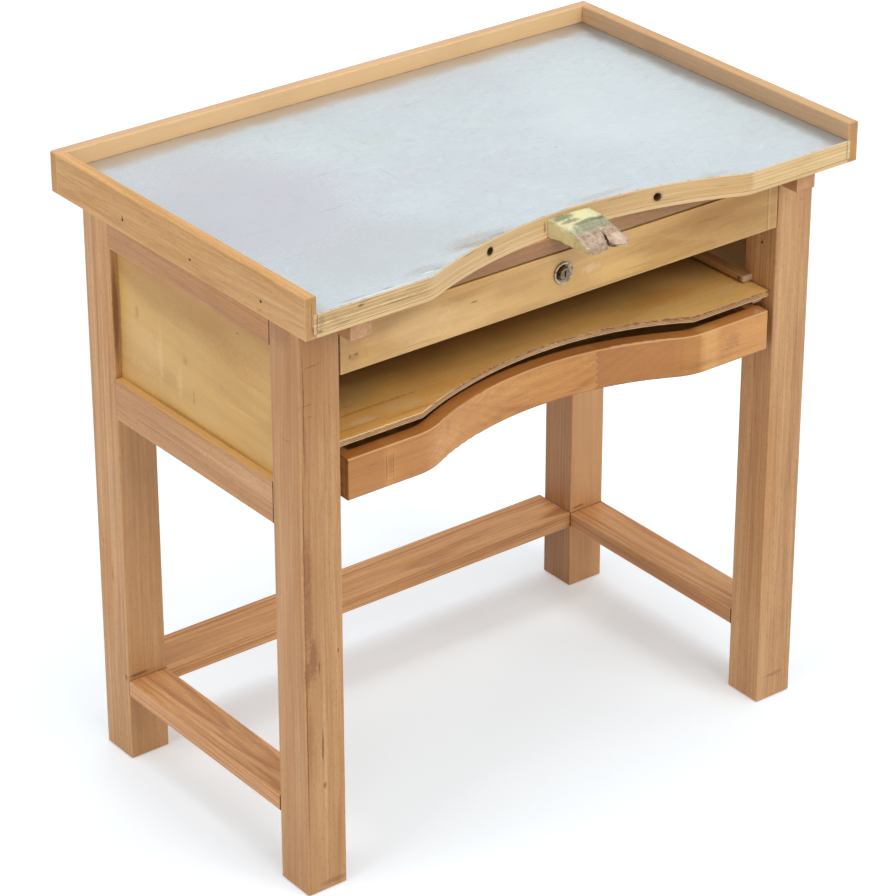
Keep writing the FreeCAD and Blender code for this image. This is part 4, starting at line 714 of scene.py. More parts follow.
class FinishRails(bpy.types.Operator):
    """Finish the rails under the top and at the panels' feet"""
    bl_idname = "bench.rails"
    bl_label = "Rails"

    def execute(self, context):
        c = colours()
        ends = [Seam("y", at, 1.1, 0.45) for at in (FRONT_SHOULDER, BACK_SHOULDER)]
        for side, sign in zip(SIDES, (-1, 1)):
            board("top_side_rail_" + side, "rail", "y", (0.05, 0.10), (0.010, 0.012), ends,
                  # The outer face is darkened: painted shade below the rim
                  faces=(("x", sign, c.rail_dark, 0.2),))
            grain_lines = (
                Mark((sign * OUTSIDE, 40, 596), (3, 90, 0.9), 0.45),
                Mark((sign * OUTSIDE, -70, 604), (3, 60, 0.8), 0.4),
                Mark((sign * OUTSIDE, 110, 584), (3, 55, 0.9), 0.35),
            )
            board("lower_side_rail_" + side, "rail", "y", (0.08, 0.05), (0.012, 0.006),
                  # The top face, a ledge below the panel, is painted lighter: painted light
                  (*ends, *grain_lines), faces=(("z", 1, from_screen(246, 200, 122), 0.7),))
        ends = [Seam("x", at, 1.3) for at in (-INNER_LEG, INNER_LEG)]
        board("back_top_rail", "rail", "x", (0.08, 0.06), marks=ends)
        board("back_lower_rail", "rail", "x", (0.05, 0.07), marks=ends)
        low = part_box("front_rail")[0].z / MM
        board("front_rail", "rail", "x", (0.09, 0.03), marks=ends,
              # Painted shade on the front face under the top's overhang, and a painted shadow gap along the
              # lower edge
              faces=(("y", -1, from_screen(112, 76, 52), 0.5),),
              bands=(("z", low - 1, low + 1.8, c.dirt_and_shade, 0.8, 0.5, 0.5),))
        return {"FINISHED"}


class FinishStretchers(bpy.types.Operator):
    """Finish the stretchers near the floor"""
    bl_idname = "bench.stretchers"
    bl_label = "Stretchers"

    def execute(self, context):
        c = colours()
        ends = [Seam("y", at, 1.6, 0.85) for at in (FRONT_SHOULDER, BACK_SHOULDER)]
        board("side_stretcher_left", "stretcher", "y", (0.010, 0.040), (0.03, 0.012), ends,
              bands=(("x", -452, -446.5, c.stretcher_dark, 0.35),))
        board("side_stretcher_right", "stretcher", "y", (0.014, 0.050), (0.02, 0.01), ends,
              bands=(("x", 380, 386, from_screen(150, 92, 58), 0.4),))
        board("back_stretcher", "stretcher", "x", (0.02, 0.07), (0.01, 0.01),
              [Seam("x", at, 1.4) for at in (-INNER_LEG, INNER_LEG)])
        return {"FINISHED"}


class FinishPanels(bpy.types.Operator):
    """Finish the plywood panels"""
    bl_idname = "bench.panels"
    bl_label = "Panels"

    def execute(self, context):
        pale = (226, 196, 140)
        stain = (160, 112, 52)
        shade = (150, 104, 52)
        spots = (
            Mark((-PANEL, -81, 805), (2, 3.0, 2.0), 0.75),
            Mark((-PANEL, 28, 662), (2, 2.2, 1.6), 0.7),
            Mark((-PANEL, 60, 760), (2, 26, 1.2), 0.16),
            Mark((-PANEL, -40, 700), (2, 1.2, 30), 0.14),
            Mark((-PANEL, 163, 743), (2, 7, 16), 0.4, stain, 1.3),
            Mark((-PANEL, 28, 664), (2, 3, 16), 0.45, stain, 1.3),
            Mark((-PANEL, 47, 714), (2, 9, 9), 0.35, stain, 1.5),
            Mark((-PANEL, 62, 672), (2, 9, 26), 0.35, pale, 1.5),
            Mark((-PANEL, 108, 700), (2, 8, 60), 0.3, pale, 1.6),
            Mark((-PANEL, -90, 690), (2, 60, 3), 0.25, pale, 1.6),
            Mark((-PANEL, -110, 740), (2, 50, 3), 0.2, (168, 120, 60), 1.6),
        )
        for side, sign in zip(SIDES, (-1, 1)):
            edges = (
                Mark((sign * PANEL, 10, 840), (3, 340, 110), 0.42, shade, 0.5),
                Mark((sign * PANEL, 209, 725), (3, 7, 130), 0.65, shade, 0.9),
                Mark((sign * PANEL, 20, 626), (3, 230, 7), 0.5, shade, 0.9),
                Mark((sign * PANEL, 20, 825), (3, 230, 4), 0.5, shade, 0.9),
                Mark((sign * PANEL, -170, 725), (3, 4, 110), 0.45, shade, 0.9),
                Mark((sign * PANEL, 150, 690), (3, 60, 50), 0.25, (226, 190, 136), 1.6),
                Mark((sign * PANEL, -60, 730), (3, 70, 60), 0.18, (178, 126, 66), 1.6),
            )
            board("side_panel_" + side, "panel", "y", (0.35, 0.0), (0.10, 0.06), (*spots, *edges), edge=0.0)
        board("back_panel", "panel", "x", (0.35, 0.1), (0.05, 0.06), edge=0.0)
        return {"FINISHED"}


class FinishTop(bpy.types.Operator):
    """Finish the plywood top and the board under it"""
    bl_idname = "bench.top"
    bl_label = "Top"

    CRISP_FROM, CRISP_FULL = 0.266, 0.288
    BORES = (-0.145, 0.145)
    BORE_HEIGHT, BORE_RADIUS = 0.902, 0.0063

    def execute(self, context):
        c = colours()
        marks = (
            Mark((-388, LIP, 911), (7, 3, 2.2), 0.85),
            Mark((-456.5, LIP, 905), (1.6, 3, 26), 0.6, ragged=0.5),
            Mark((-452, LIP, 893), (6, 3, 3), 0.6),
            Mark((-450, LIP, 906), (7, 3, 12), 0.3),
            Mark((456.5, LIP, 905), (1.6, 3, 26), 0.5, ragged=0.5),
            Mark((-330, LIP, 900), (34, 3, 1.6), 0.4),
            Mark((-110, -250, 913), (60, 9, 1.1), 0.4),
            Mark((-185, -260, 915), (30, 14, 1.4), 0.5),
            Mark((95, -236, 913), (50, 9, 1.1), 0.35),
            Mark((-40, -236, 902), (3, 8, 12), 0.6, (84, 56, 28)),
            Mark((-118, -246, 896), (26, 8, 1.2), 0.35),
            Mark((160, -252, 896), (40, 12, 1.2), 0.3),
            Mark((240, -272, 904), (20, 14, 2), 0.25),
        )
        for name, layer in (("bench_top", wear().top_layer), ("top_underlay", wear().top_layer * 2.2)):
            finish = Finish(name + "_finish")
            tree = finish.tree
            finish.grain(woods()["front"], name, "x", (0.3, 0.2), (0.02, 0.03))
            level = tree.minus(finish.along("z"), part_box(name)[0].z)
            outward = tree.math("ABSOLUTE", finish.along("x"))
            crisp = tree.times(tree.step(outward, self.CRISP_FROM, self.CRISP_FULL), 0.8)
            finish.plies(level, layer, tree.plus(crisp, 0.2), c.ply_light, c.ply_dark)
            grey = finish.patches((30, 30, 260), 3, 0.6, 0.52, 0.72)
            grey = tree.times(grey, tree.times(crisp, 0.5))
            finish.paint(grey, from_screen(116, 84, 50))
            if name == "bench_top":
                finish.band("x", -276, 0, from_screen(206, 160, 96), 0.12, 4)
                finish.band("x", 0, 276, from_screen(196, 152, 96), 0.35, 4)
                finish.band("x", 280, 480, from_screen(250, 220, 164), 0.4, 4)
                finish.band("z", 916.6, 919, from_screen(236, 222, 192), 0.6, 0.3, 0.5)
                finish.mark(marks)
                self.shade_bores(finish)
            else:
                finish.band("z", 885, 891, from_screen(226, 190, 138), 0.35, 0.3, 0.5)
                finish.mark((Seam("z", 891, 0.7, 0.7),))
            give(name, finish.close(coat=0.06))
        return {"FINISHED"}

    def shade_bores(self, finish):
        """Paint shade inside the two holes in the front edge, and grime on the wood round their mouths."""
        tree = finish.tree
        for x in self.BORES:
            off = tree.vector("SUBTRACT", finish.place, (x, 0, self.BORE_HEIGHT))
            radius = tree.vector("LENGTH", tree.vector("MULTIPLY", off, (1, 0, 1)))
            mouth = tree.step(radius, self.BORE_RADIUS * 1.7, self.BORE_RADIUS)
            finish.paint(mouth, from_screen(120, 84, 50), 0.3)
            # Painted shade inside the hole
            inside = tree.step(radius, self.BORE_RADIUS, self.BORE_RADIUS * 0.94)
            finish.paint(inside, from_screen(86, 60, 38), 0.8)


class FinishZinc(bpy.types.Operator):
    """Finish the zinc sheet"""
    bl_idname = "bench.zinc"
    bl_label = "Zinc"

    SCUFF_TURNS = 4

    def execute(self, context):
        c = colours()
        finish = Finish("zinc_finish")
        tree = finish.tree
        cloud = finish.noise(4, 4, 0.6)
        mottle = finish.noise(38, 4, 0.7)
        fine = finish.noise(240, 3, 0.7)
        finish.colour = tree.mix(tree.times(tree.step(cloud, 0.3, 0.7), 0.5), c.zinc, c.zinc_worn)
        pink = finish.patches(5, 3, 0.6, 0.5, 0.66)
        finish.paint(pink, from_screen(196, 194, 204), 0.35)
        teal = finish.patches(3.4, 3, 0.6, 0.5, 0.34)
        finish.paint(teal, from_screen(190, 206, 204), 0.3)
        wander = tree.scaled(tree.stretched(finish.place, 16, 2, 0.5, output=1), 0.05)
        wavy = tree.vector("ADD", finish.place, wander)
        for scale, low, high, tint in (((34, 150, 0), 0.5, 0.72, (158, 168, 174)),
                                       ((90, 44, 0), 0.52, 0.74, (164, 172, 178)),
                                       ((44, 120, 9), 0.52, 0.74, (226, 232, 232))):
            strokes = tree.step(tree.stretched(wavy, scale, 5, 0.75), low, high)
            finish.paint(strokes, from_screen(*tint), 0.32)
        finish.paint(tree.step(fine, 0.55, 0.75), from_screen(160, 168, 172), 0.25)
        scuffs = 0.0
        for i in range(self.SCUFF_TURNS):
            turned = tree.mapped(finish.place, (i * 1.7, i * 0.9, 0), (0, 0, 0.4 + 0.8 * i))
            lines = tree.step(tree.stretched(turned, (11, 260, 0), 3, 0.7), 0.62, 0.7)
            where = tree.step(tree.stretched(turned, (6, 6, 0), 2, 0.5), 0.5, 0.62)
            scuffs = tree.math("MAXIMUM", scuffs, tree.times(lines, where))
        finish.paint(scuffs, from_screen(168, 176, 182), 0.4)
        self.shade_reflection_residue_by_rims(finish)
        # The upright edge is pale cream, partly a painted highlight, with brown flecks
        upright = tree.step(finish.facing("z"), 0.7, 0.4)
        finish.paint(upright, from_screen(226, 208, 180), 0.85)
        flecks = finish.patches((140, 140, 30), 3, 0.7, 0.5, 0.62)
        finish.paint(tree.times(upright, flecks), from_screen(126, 98, 68), 0.7)
        brown = (150, 124, 86)
        dark = (96, 84, 72)
        scratch = (150, 158, 166)
        finish.mark((
            Mark((-330, 40, ZINC), (190, 290, 6), 0.6, (184, 181, 190), 1.0),
            Mark((-270, -190, ZINC), (190, 110, 6), 0.45, (182, 184, 186), 1.0),
            Mark((270, 0, ZINC), (170, 200, 6), 0.3, (214, 222, 226), 1.0),
            Mark((-150, -238, ZINC), (80, 24, 6), 0.30, brown, 0.9),
            Mark((-172, -246, ZINC), (44, 8, 6), 0.34, brown, 1.2),
            Mark((-128, -240, ZINC), (22, 4, 6), 0.30, dark, 1.6),
            Mark((-268, -270, ZINC), (44, 14, 6), 0.24, brown, 0.9),
            Mark((-262, -277, ZINC), (22, 3, 6), 0.35, dark, 1.6),
            Mark((60, -224, ZINC), (70, 10, 6), 0.22, brown, 0.9),
            Mark((210, -268, ZINC), (70, 12, 6), 0.18, brown, 0.9),
            Mark((-269, -278, ZINC), (14, 2, 6), 0.8, (240, 242, 242), 0.8),
            # White line along the front edge: painted highlight
            Mark((-350, -289, ZINC), (90, 2, 6), 0.5, (236, 238, 236), 0.8),
            Mark((-395, -284, ZINC), (34, 3, 6), 0.35, brown, 1.4),
            Mark((-340, -285, ZINC), (12, 2, 6), 0.5, dark, 1.4),
            Mark((-200, 60, ZINC), (34, 1.5, 6), 0.4, scratch),
            Mark((-120, 10, ZINC), (1.5, 40, 6), 0.3, scratch, 1.2),
            Mark((-250, -40, ZINC), (40, 2, 6), 0.4, (152, 158, 164), 1.4),
            Mark((60, 190, ZINC), (30, 2, 6), 0.4, (150, 154, 160), 1.2),
            Mark((120, -60, ZINC), (3, 2.5, 6), 0.4, (120, 112, 100)),
            Mark((-60, 120, ZINC), (46, 30, 6), 0.16, (176, 190, 176), 1.2),
            Mark((180, 60, ZINC), (60, 36, 6), 0.14, (172, 178, 196), 1.2),
        ))
        specks = finish.patches(330, 2, 0.6, 0.7, 0.78)
        finish.paint(specks, from_screen(120, 118, 112), 0.28)
        finish.height = tree.total(tree.times(mottle, 0.8), scuffs, tree.times(fine, 0.3))
        finish.roughness = tree.total(0.40, tree.times(cloud, 0.05), tree.times(scuffs, 0.1))
        give("zinc_sheet", finish.close(relief=0.00006, metallic=0.4, gloss=0.5))
        return {"FINISHED"}

    def shade_reflection_residue_by_rims(self, finish):
        """Bands along the feet of the rims: a painted reflection of the back rim, a painted shadow along the
        right rim that is darkest at the back right corner, a soft grey-brown band along the left rim, and a
        thin brown residue line where the cloth never reaches.
        """
        tree = finish.tree
        low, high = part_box("zinc_sheet")
        left = tree.minus(finish.along("x"), low.x)
        right = tree.minus(high.x, finish.along("x"))
        back = tree.minus(high.y, finish.along("y"))
        near = tree.math("MINIMUM", tree.math("MINIMUM", left, right), back)
        rough = tree.centred(finish.noise(18, 4, 0.65), 0.03)
        # Left: soft grey-brown band; back: painted reflection of the rim; right: painted shadow of the rim
        for off, reach, tint, strength in ((left, 0.025, (170, 160, 144), 0.4),
                                           (back, 0.048, (176, 154, 124), 0.75),
                                           (right, 0.038, (134, 128, 120), 0.75)):
            band_by_rim = tree.step(tree.plus(off, rough), reach, reach * 0.35)
            finish.paint(band_by_rim, from_screen(*tint), strength)
        # Painted shade darkening the back right corner
        corner = tree.vector("LENGTH", tree.vector("SUBTRACT", finish.place, (high.x, high.y, high.z)))
        finish.paint(tree.step(tree.plus(corner, rough), 0.09, 0.02), from_screen(120, 108, 96), 0.4)
        # Thin brown residue line at the feet of the rims
        rough = tree.times(finish.noise(70, 4, 0.65), 0.008)
        line = tree.step(tree.plus(near, tree.minus(rough, 0.004)), 0.0045, 0.0)
        finish.paint(line, from_screen(128, 98, 66), 0.6)


class FinishRims(bpy.types.Operator):
    """Finish the rim boards, their nails and the blocks under the overhang"""
    bl_idname = "bench.rims"
    bl_label = "Rims"

    def execute(self, context):
        left = (
            Mark((-RIM, 129, 908), (3, 2.4, 2.0), 0.7),
            Mark((-RIM, -192, 892), (3, 3, 1.6), 0.6),
            Mark((-461, -77, 945), (1.6, 2, 2), 0.8),
            Mark((-RIM, 40, 900), (3, 40, 0.9), 0.3),
            Mark((-465, LIP, 915), (0.8, 4, 32), 0.7, ragged=0.4),
            Mark((-462, LIP, 896), (3, 4, 9), 0.6),
        )
        board("rim_left", "rim", "y", (0.1, 0.03), (0.012, 0.03), (*left, Seam("x", -458, 0.7, 0.5)),
              edge=0.45)
        right = (
            Mark((460, 120, 922), (3, 200, 2.5), 0.35, (120, 86, 54)),
            Mark((460, -240, 921), (3, 40, 2), 0.5),
        )
        board("rim_right", "rim", "y", (0.11, 0.03), (0.012, 0.03), right, edge=0.45,
              faces=(("z", 1, from_screen(190, 164, 136), 0.4),
                     ("x", -1, from_screen(196, 172, 150), 0.45)))
        corners = (
            Mark((-458, 291.5, 932), (1.6, 3, 14), 0.6),
            Mark((458, 291.5, 932), (1.6, 3, 14), 0.7),
        )
        board("rim_back", "rim", "x", (0.1, 0.03), (0.01, 0.02), corners, edge=0.45,
              # The inner face is painted lighter: painted light
              faces=(("y", -1, from_screen(250, 214, 164), 0.75),
                     ("z", 1, from_screen(200, 172, 146), 0.5)))
        for side in SIDES:
            low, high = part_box("overhang_block_" + side)
            foot, head = low.z / MM, high.z / MM
            board("overhang_block_" + side, "block", "y", (0.05, 0.03), edge=0.2,
                  # Painted shade on the left face, a painted shadow along the foot and a painted contact
                  # shadow under the top
                  faces=(("x", -1, from_screen(168, 126, 84), 0.8),),
                  bands=(("z", foot - 1, foot + 1.4, colours().dirt_and_shade, 0.5, 0.5, 0.5),
                         ("z", head - 2.4, head + 1, colours().dirt_and_shade, 0.55, 0.6, 0.8)))
        give("rim_nails", metal("nail_steel", from_screen(112, 80, 56), 0.6))
        return {"FINISHED"}


def metal(name, tint, roughness, scratch=0.25, tarnish_share=0.55):
    """A metal with fine scratches and a little tarnish."""
    finish = Finish(name)
    tree = finish.tree
    tarnish = finish.noise(160, 3, 0.6)
    lines = finish.noise((300, 4000, 300), 2, 0.6)
    dull = tuple(tarnish_share * part for part in tint)
    finish.colour = tree.mix(tree.step(tarnish, 0.4, 0.75), tint, dull)
    finish.height = tree.total(lines, tarnish)
    finish.roughness = tree.total(roughness, tree.times(tarnish, scratch))
    return finish.close(relief=0.00002, metallic=1.0)


class FinishStrips(bpy.types.Operator):
    """Finish the runners and kickers and their screws"""
    bl_idname = "bench.strips"
    bl_label = "Strips"

    def execute(self, context):
        pale = from_screen(228, 212, 188)
        for side in SIDES:
            for strip in ("drawer_kicker", "upper_runner", "tray_kicker", "tray_runner", "lower_runner"):
                name = "%s_%s" % (strip, side)
                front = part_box(name)[0].y / MM
                board(name, "box", "y", (0.06, 0.02), bands=(("y", front - 1, front + 2.5, pale, 0.6),))
        for name in ("runner_screws", "top_screws"):
            give(name, metal(name + "_steel", colours().steel, 0.35))
        return {"FINISHED"}


class FinishUpperDrawer(bpy.types.Operator):
    """Finish the upper drawer"""
    bl_idname = "bench.upper_drawer"
    bl_label = "Upper drawer"

    def execute(self, context):
        pale = from_screen(222, 192, 150)
        marks = (
            Mark((-366, FRONT, 809), (3.6, 3, 4.2), 0.9, ragged=1.2),
            Mark((-356, FRONT, 810), (4.4, 3, 3.0), 0.85, ragged=1.2),
            Mark((-361, FRONT, 807), (12, 3, 7), 0.4, (150, 98, 50), 1.2),
            Mark((255, FRONT, 824), (60, 3, 24), 0.3, (160, 116, 66), 0.8),
            Mark((330, FRONT, 815), (50, 3, 30), 0.3, (164, 122, 72), 0.8),
            Mark((-85, FRONT, 832), (60, 3, 26), 0.3, (166, 122, 70), 0.7),
            Mark((-180, FRONT, 812), (70, 3, 30), 0.25, (244, 206, 146), 0.6),
            Mark((-248, FRONT, 822), (76, 3, 36), 0.35, (250, 214, 158), 0.6),
            Mark((92, FRONT, 806), (70, 3, 22), 0.3, (246, 204, 134), 0.7),
            Mark((40, FRONT, 822), (22, 3, 8), 0.25, (250, 222, 190), 2.0),
            Mark((190, FRONT, 838), (40, 3, 7), 0.2, (150, 104, 56), 2.0),
            # Painted shadow of the overhang and the left block on the upper left of the front
            Mark((-370, FRONT, 817), (40, 3, 40), 0.4, (176, 132, 86), 0.8),
            Mark((-330, FRONT, 852), (130, 3, 32), 0.42, (150, 112, 68), 0.5),
            Mark((-162, FRONT, 829), (8, 3, 1.8), 0.65),
            Mark((-10, FRONT, 828), (20, 3, 20), 0.35),
            Mark((120, FRONT, 800), (40, 3, 1.4), 0.25),
            Mark((250, FRONT, 835), (30, 3, 2.2), 0.2),
            Mark((-250, FRONT, 795), (50, 3, 1.2), 0.22),
            Mark((60, FRONT, 790), (120, 3, 3), 0.2),
        )
        board("upper_drawer_front", "front", "x", (0.25, 0.1), (0.05, 0.05), marks,
              bands=(("x", 364, 367, pale, 0.35, 0.8, 3),
                     ("x", 361.5, 363, colours().dirt_and_shade, 0.4, 0.5, 4)))
        for side in SIDES:
            board("upper_drawer_side_" + side, "box", "y")
        board("upper_drawer_back", "box", "x")
        board("upper_drawer_bottom", "panel", "x", (0.3, 0.1))
        return {"FINISHED"}


class FinishLock(bpy.types.Operator):
    """Finish the lock"""
    bl_idname = "bench.lock"
    bl_label = "Lock"

    def execute(self, context):
        chrome = metal("lock_chrome", colours().chrome, 0.16, 0.2, 0.36)
        steel = metal("lock_steel", colours().steel, 0.35)
        give("lock_ring", chrome)
        give("lock_plug", metal("plug_brass", from_screen(128, 108, 82), 0.2, 0.2, 0.3))
        for name in ("lock_body", "lock_cam", "cam_screw", "lock_screws"):
            give(name, steel)
        return {"FINISHED"}


class FinishLowerDrawer(bpy.types.Operator):
    """Finish the lower drawer"""
    bl_idname = "bench.lower_drawer"
    bl_label = "Lower drawer"

    FINGER_JOINT, FINGER_DEPTH = 0.100, 0.0055

    def execute(self, context):
        c = colours()
        finish = Finish("lower_drawer_front_finish")
        tree = finish.tree
        upward = finish.facing("z")
        finish.grain(woods()["curved"], "lower_drawer_front", "x", (0.12, 0.05), (0.02, 0.03))
        finish.band("x", 252, 278, from_screen(240, 190, 122), 0.3, 8)
        teeth = tree.math("PINGPONG", finish.along("z"), self.FINGER_DEPTH)
        past = tree.minus(tree.plus(finish.along("x"), teeth), self.FINGER_JOINT)
        darker = tree.times(tree.step(past, -0.0004, 0.0004), finish.fade("x", 0.225, 0.205))
        finish.paint(darker, from_screen(166, 106, 56), 0.6)
        joint = tree.step(tree.math("ABSOLUTE", past), 0.0009, 0.0002)
        finish.paint(joint, c.dirt_and_shade, 0.35)
        # The top face tinted darker red-brown: painted shade under the tray
        finish.paint(tree.step(upward, 0.6, 0.85), from_screen(176, 108, 54), 0.2)
        finish.band("x", -380, -310, c.curved_dark, 0.6, 6, 12)
        finish.band("x", -300, -230, c.curved_dark, 0.5, 20, 30)
        finish.band("x", 214, 246, from_screen(162, 106, 46), 0.45, 4, 8)
        finish.band("x", 300, 380, from_screen(238, 184, 118), 0.12, 30, 30)
        finish.band("z", 596, 600, c.dirt_and_shade, 0.5, 1.5)
        # Painted highlight along the rounded top arris
        arris_highlight = tree.times(tree.step(upward, 0.12, 0.4), tree.step(upward, 0.95, 0.8))
        finish.paint(arris_highlight, from_screen(232, 190, 140), 0.6)
        finish.grime(0.18, from_screen(140, 88, 50))
        finish.mark((
            Mark((-308, FRONT, 629), (1.1, 6, 30), 0.6, ragged=0.5),
            Mark((-297, FRONT, 629), (1.1, 6, 28), 0.55, ragged=0.5),
            Mark((-302, FRONT, 629), (5, 6, 24), 0.3, ragged=0.7),
            Mark((214, -206, 629), (0.9, 20, 34), 0.45, ragged=0.5),
            Mark((243, -216, 629), (0.9, 20, 34), 0.35, ragged=0.5),
            Mark((306, FRONT, 632), (18, 14, 15), 0.4, (164, 108, 72), 2.2),
            Mark((240, -225, 612), (40, 30, 6), 0.2, (140, 88, 44), 1.8),
            Mark((-371, -231, 655), (4, 8, 3), 0.4),
            Mark((358, -229, 659), (10, 7, 3), 0.7, (216, 190, 164), 1.4),
            Mark((352, -233, 657), (12, 5, 2), 0.5, (110, 74, 46), 1.6),
            Mark((-330, FRONT, 640), (20, 3, 1.4), 0.25),
            Mark((300, FRONT, 622), (24, 6, 2), 0.3),
        ))
        give("lower_drawer_front", finish.close(coat=0.12))
        for side in SIDES:
            board("lower_drawer_side_" + side, "box", "y")
        board("lower_drawer_back", "box", "x")
        board("lower_drawer_bottom", "panel", "x", (0.3, 0.1))
        return {"FINISHED"}


def add_piece(name, points, faces, body, material, smooth=False):
    """Make a new piece that rides on a body."""
    mesh = bpy.data.meshes.new(name)
    mesh.from_pydata(points, [], faces)
    mesh.update()
    piece = bpy.data.objects.new(name, mesh)
    bpy.context.scene.collection.objects.link(piece)
    mesh.materials.append(material)
    for polygon in mesh.polygons:
        polygon.use_smooth = smooth
    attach(piece, body)
    return piece


class MakeTray(bpy.types.Operator):
    """Make the tray with its chipped front edge"""
    bl_idname = "bench.tray"
    bl_label = "Tray"

    STATIONS = 620
    LEVELS = 7
    CORNER_CHIP, CORNER_DEPTH = 0.009, 0.006
    UNDERCUT, UNDERCUT_DEPTH = 0.0014, 0.008
    ARRIS = 0.0004
    WORN_STRIP = 0.006
    SHOULDER, CURVE_DEPTH, SKEW = 0.240, 0.057, 0.12
    # Noise of the bites: waves per metre, step from layer to layer, offset and strength
    BITES = ((95, 0.9, 3.1, 1.0), (330, 1.7, 7.7, 0.6))

    def execute(self, context):
        low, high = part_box("tray_board")
        rows = []
        for i in range(self.STATIONS + 1):
            x = low.x + (high.x - low.x) * i / self.STATIONS
            rows.append(self.profile(x, self.worn_front(x, low), low, high))
        count = len(rows[0])
        points = [point for row in rows for point in row]
        faces = [(i * count + j, i * count + (j + 1) % count, (i + 1) * count + (j + 1) % count,
                  (i + 1) * count + j)
                 for i in range(self.STATIONS) for j in range(count)]
        faces.append(tuple(range(count))[::-1])
        faces.append(tuple(self.STATIONS * count + j for j in range(count)))
        tray = add_piece("tray", points, faces, "tray", self.finish())
        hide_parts("tray_board")
        return {"FINISHED"}

    def worn_front(self, x, low):
        """The front edge with the crisp shoulders and the slightly lopsided curve of hand sawing."""
        if abs(x) >= self.SHOULDER:
            return low.y
        radius = (self.SHOULDER ** 2 + self.CURVE_DEPTH ** 2) / (2 * self.CURVE_DEPTH)
        deep = self.CURVE_DEPTH - radius + math.sqrt(radius ** 2 - x ** 2)
        return low.y + deep * (1 + self.SKEW * x / self.SHOULDER)

    def profile(self, x, front, low, high):
        """A slice of the tray from its lower back edge round the front to its upper back edge."""
        foot = low.z + self.UNDERCUT
        row = [(x, high.y, low.z), (x, front + self.UNDERCUT_DEPTH, low.z)]
        corner = max(0.0, 1 - (x - low.x) / self.CORNER_CHIP)
        for k in range(self.LEVELS + 1):
            share = k / self.LEVELS
            z = foot + (high.z - foot) * share
            layer = min(k, self.LEVELS - 1)
            bite = sum(strength * noise.noise((x * waves, layer * step, offset))
                       for waves, step, offset, strength in self.BITES)
            torn = wear().tray_bite * (0.12 + 0.88 * share ** 3)
            off = torn * max(0.0, bite - 0.05) * 1.6 + corner ** 2 * self.CORNER_DEPTH * share
            row.append((x, front + off + (self.ARRIS if k in (0, self.LEVELS) else 0.0), z))
        row.append((x, front + self.WORN_STRIP, high.z))
        row.append((x, high.y, high.z))
        return row

    def finish(self):
        finish = Finish("tray_finish")
        tree = finish.tree
        c = colours()
        low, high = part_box("tray_board")
        finish.grain(woods()["tray"], "tray_board", "x", (0.3, 0.2), (0.03, 0.05))
        level = tree.minus(finish.along("z"), low.z)
        finish.plies(level, wear().thin_layer, 0.5, c.tray_layer, c.curved_dark)
        # Darker towards the back, deeper inside the bench: painted shade
        depth = tree.plus(finish.along("y"), tree.centred(finish.noise(9, 3), 0.06))
        finish.paint(tree.step(depth, -0.185, -0.06), from_screen(92, 60, 26), 0.8)
        finish.grime(0.25, from_screen(186, 128, 66))
        upright = tree.step(tree.math("ABSOLUTE", finish.facing("z")), 0.8, 0.5)
        torn = finish.patches((120, 120, 300), 3, 0.7, 0.42, 0.56)
        torn = tree.times(torn, finish.fade("x", -0.26, -0.12))
        torn = tree.times(torn, tree.times(upright, finish.fade("z", -0.0042, -0.0016, high.z)))
        finish.paint(torn, from_screen(110, 72, 38), 0.75)
        # Painted highlight along the top of the front edge, on its left part
        top_arris_highlight = tree.times(upright, finish.fade("z", -0.0016, -0.0010, high.z))
        top_arris_highlight = tree.times(top_arris_highlight, finish.fade("x", -0.1, -0.25))
        finish.paint(top_arris_highlight, from_screen(250, 224, 180), 0.8)
        foot = tree.times(upright, finish.fade("z", 0.0030, 0.0024, low.z))
        finish.paint(foot, from_screen(246, 214, 176), 0.7)
        dark = (96, 60, 32)
        finish.mark((
            Seam("z", 683.2, 0.8, 0.7),
            Seam("z", 680.8, 0.7, 0.5),
            Seam("z", 678.4, 0.8, 0.75),
            Mark((-332, -205, TRAY), (60, 3, 2), 0.3, (150, 100, 52), 1.6),
            Mark((-320, -196, TRAY), (26, 12, 2), 0.5, (255, 236, 190), 1.4),
            Mark((-250, -190, TRAY), (50, 20, 2), 0.35, (255, 226, 170), 1.6),
            Mark((-290, -170, TRAY), (110, 4, 2), 0.45, (176, 120, 62), 2.2),
            Mark((-240, -212, TRAY), (60, 5, 2), 0.4, (186, 132, 70), 2.0),
            Mark((-352, -150, TRAY), (60, 4, 2), 0.45, (170, 114, 58), 2.0),
            Mark((250, -150, TRAY), (80, 24, 2), 0.25, (214, 150, 76), 1.6),
            Mark((150, -170, TRAY), (60, 16, 2), 0.25, (214, 150, 76), 1.6),
            Mark((205, -228, 683), (32, 20, 3.2), 0.85, dark, 1.8),
            Mark((-100, -190, 683), (130, 30, 1.6), 0.35, dark, 2.4),
            Mark((-378, -225, 684), (6, 4, 4), 0.5, (226, 214, 190)),
            Mark((-300, -120, TRAY), (60, 40, 2), 0.25, (232, 206, 154)),
        ))
        return finish.close(coat=0.1)


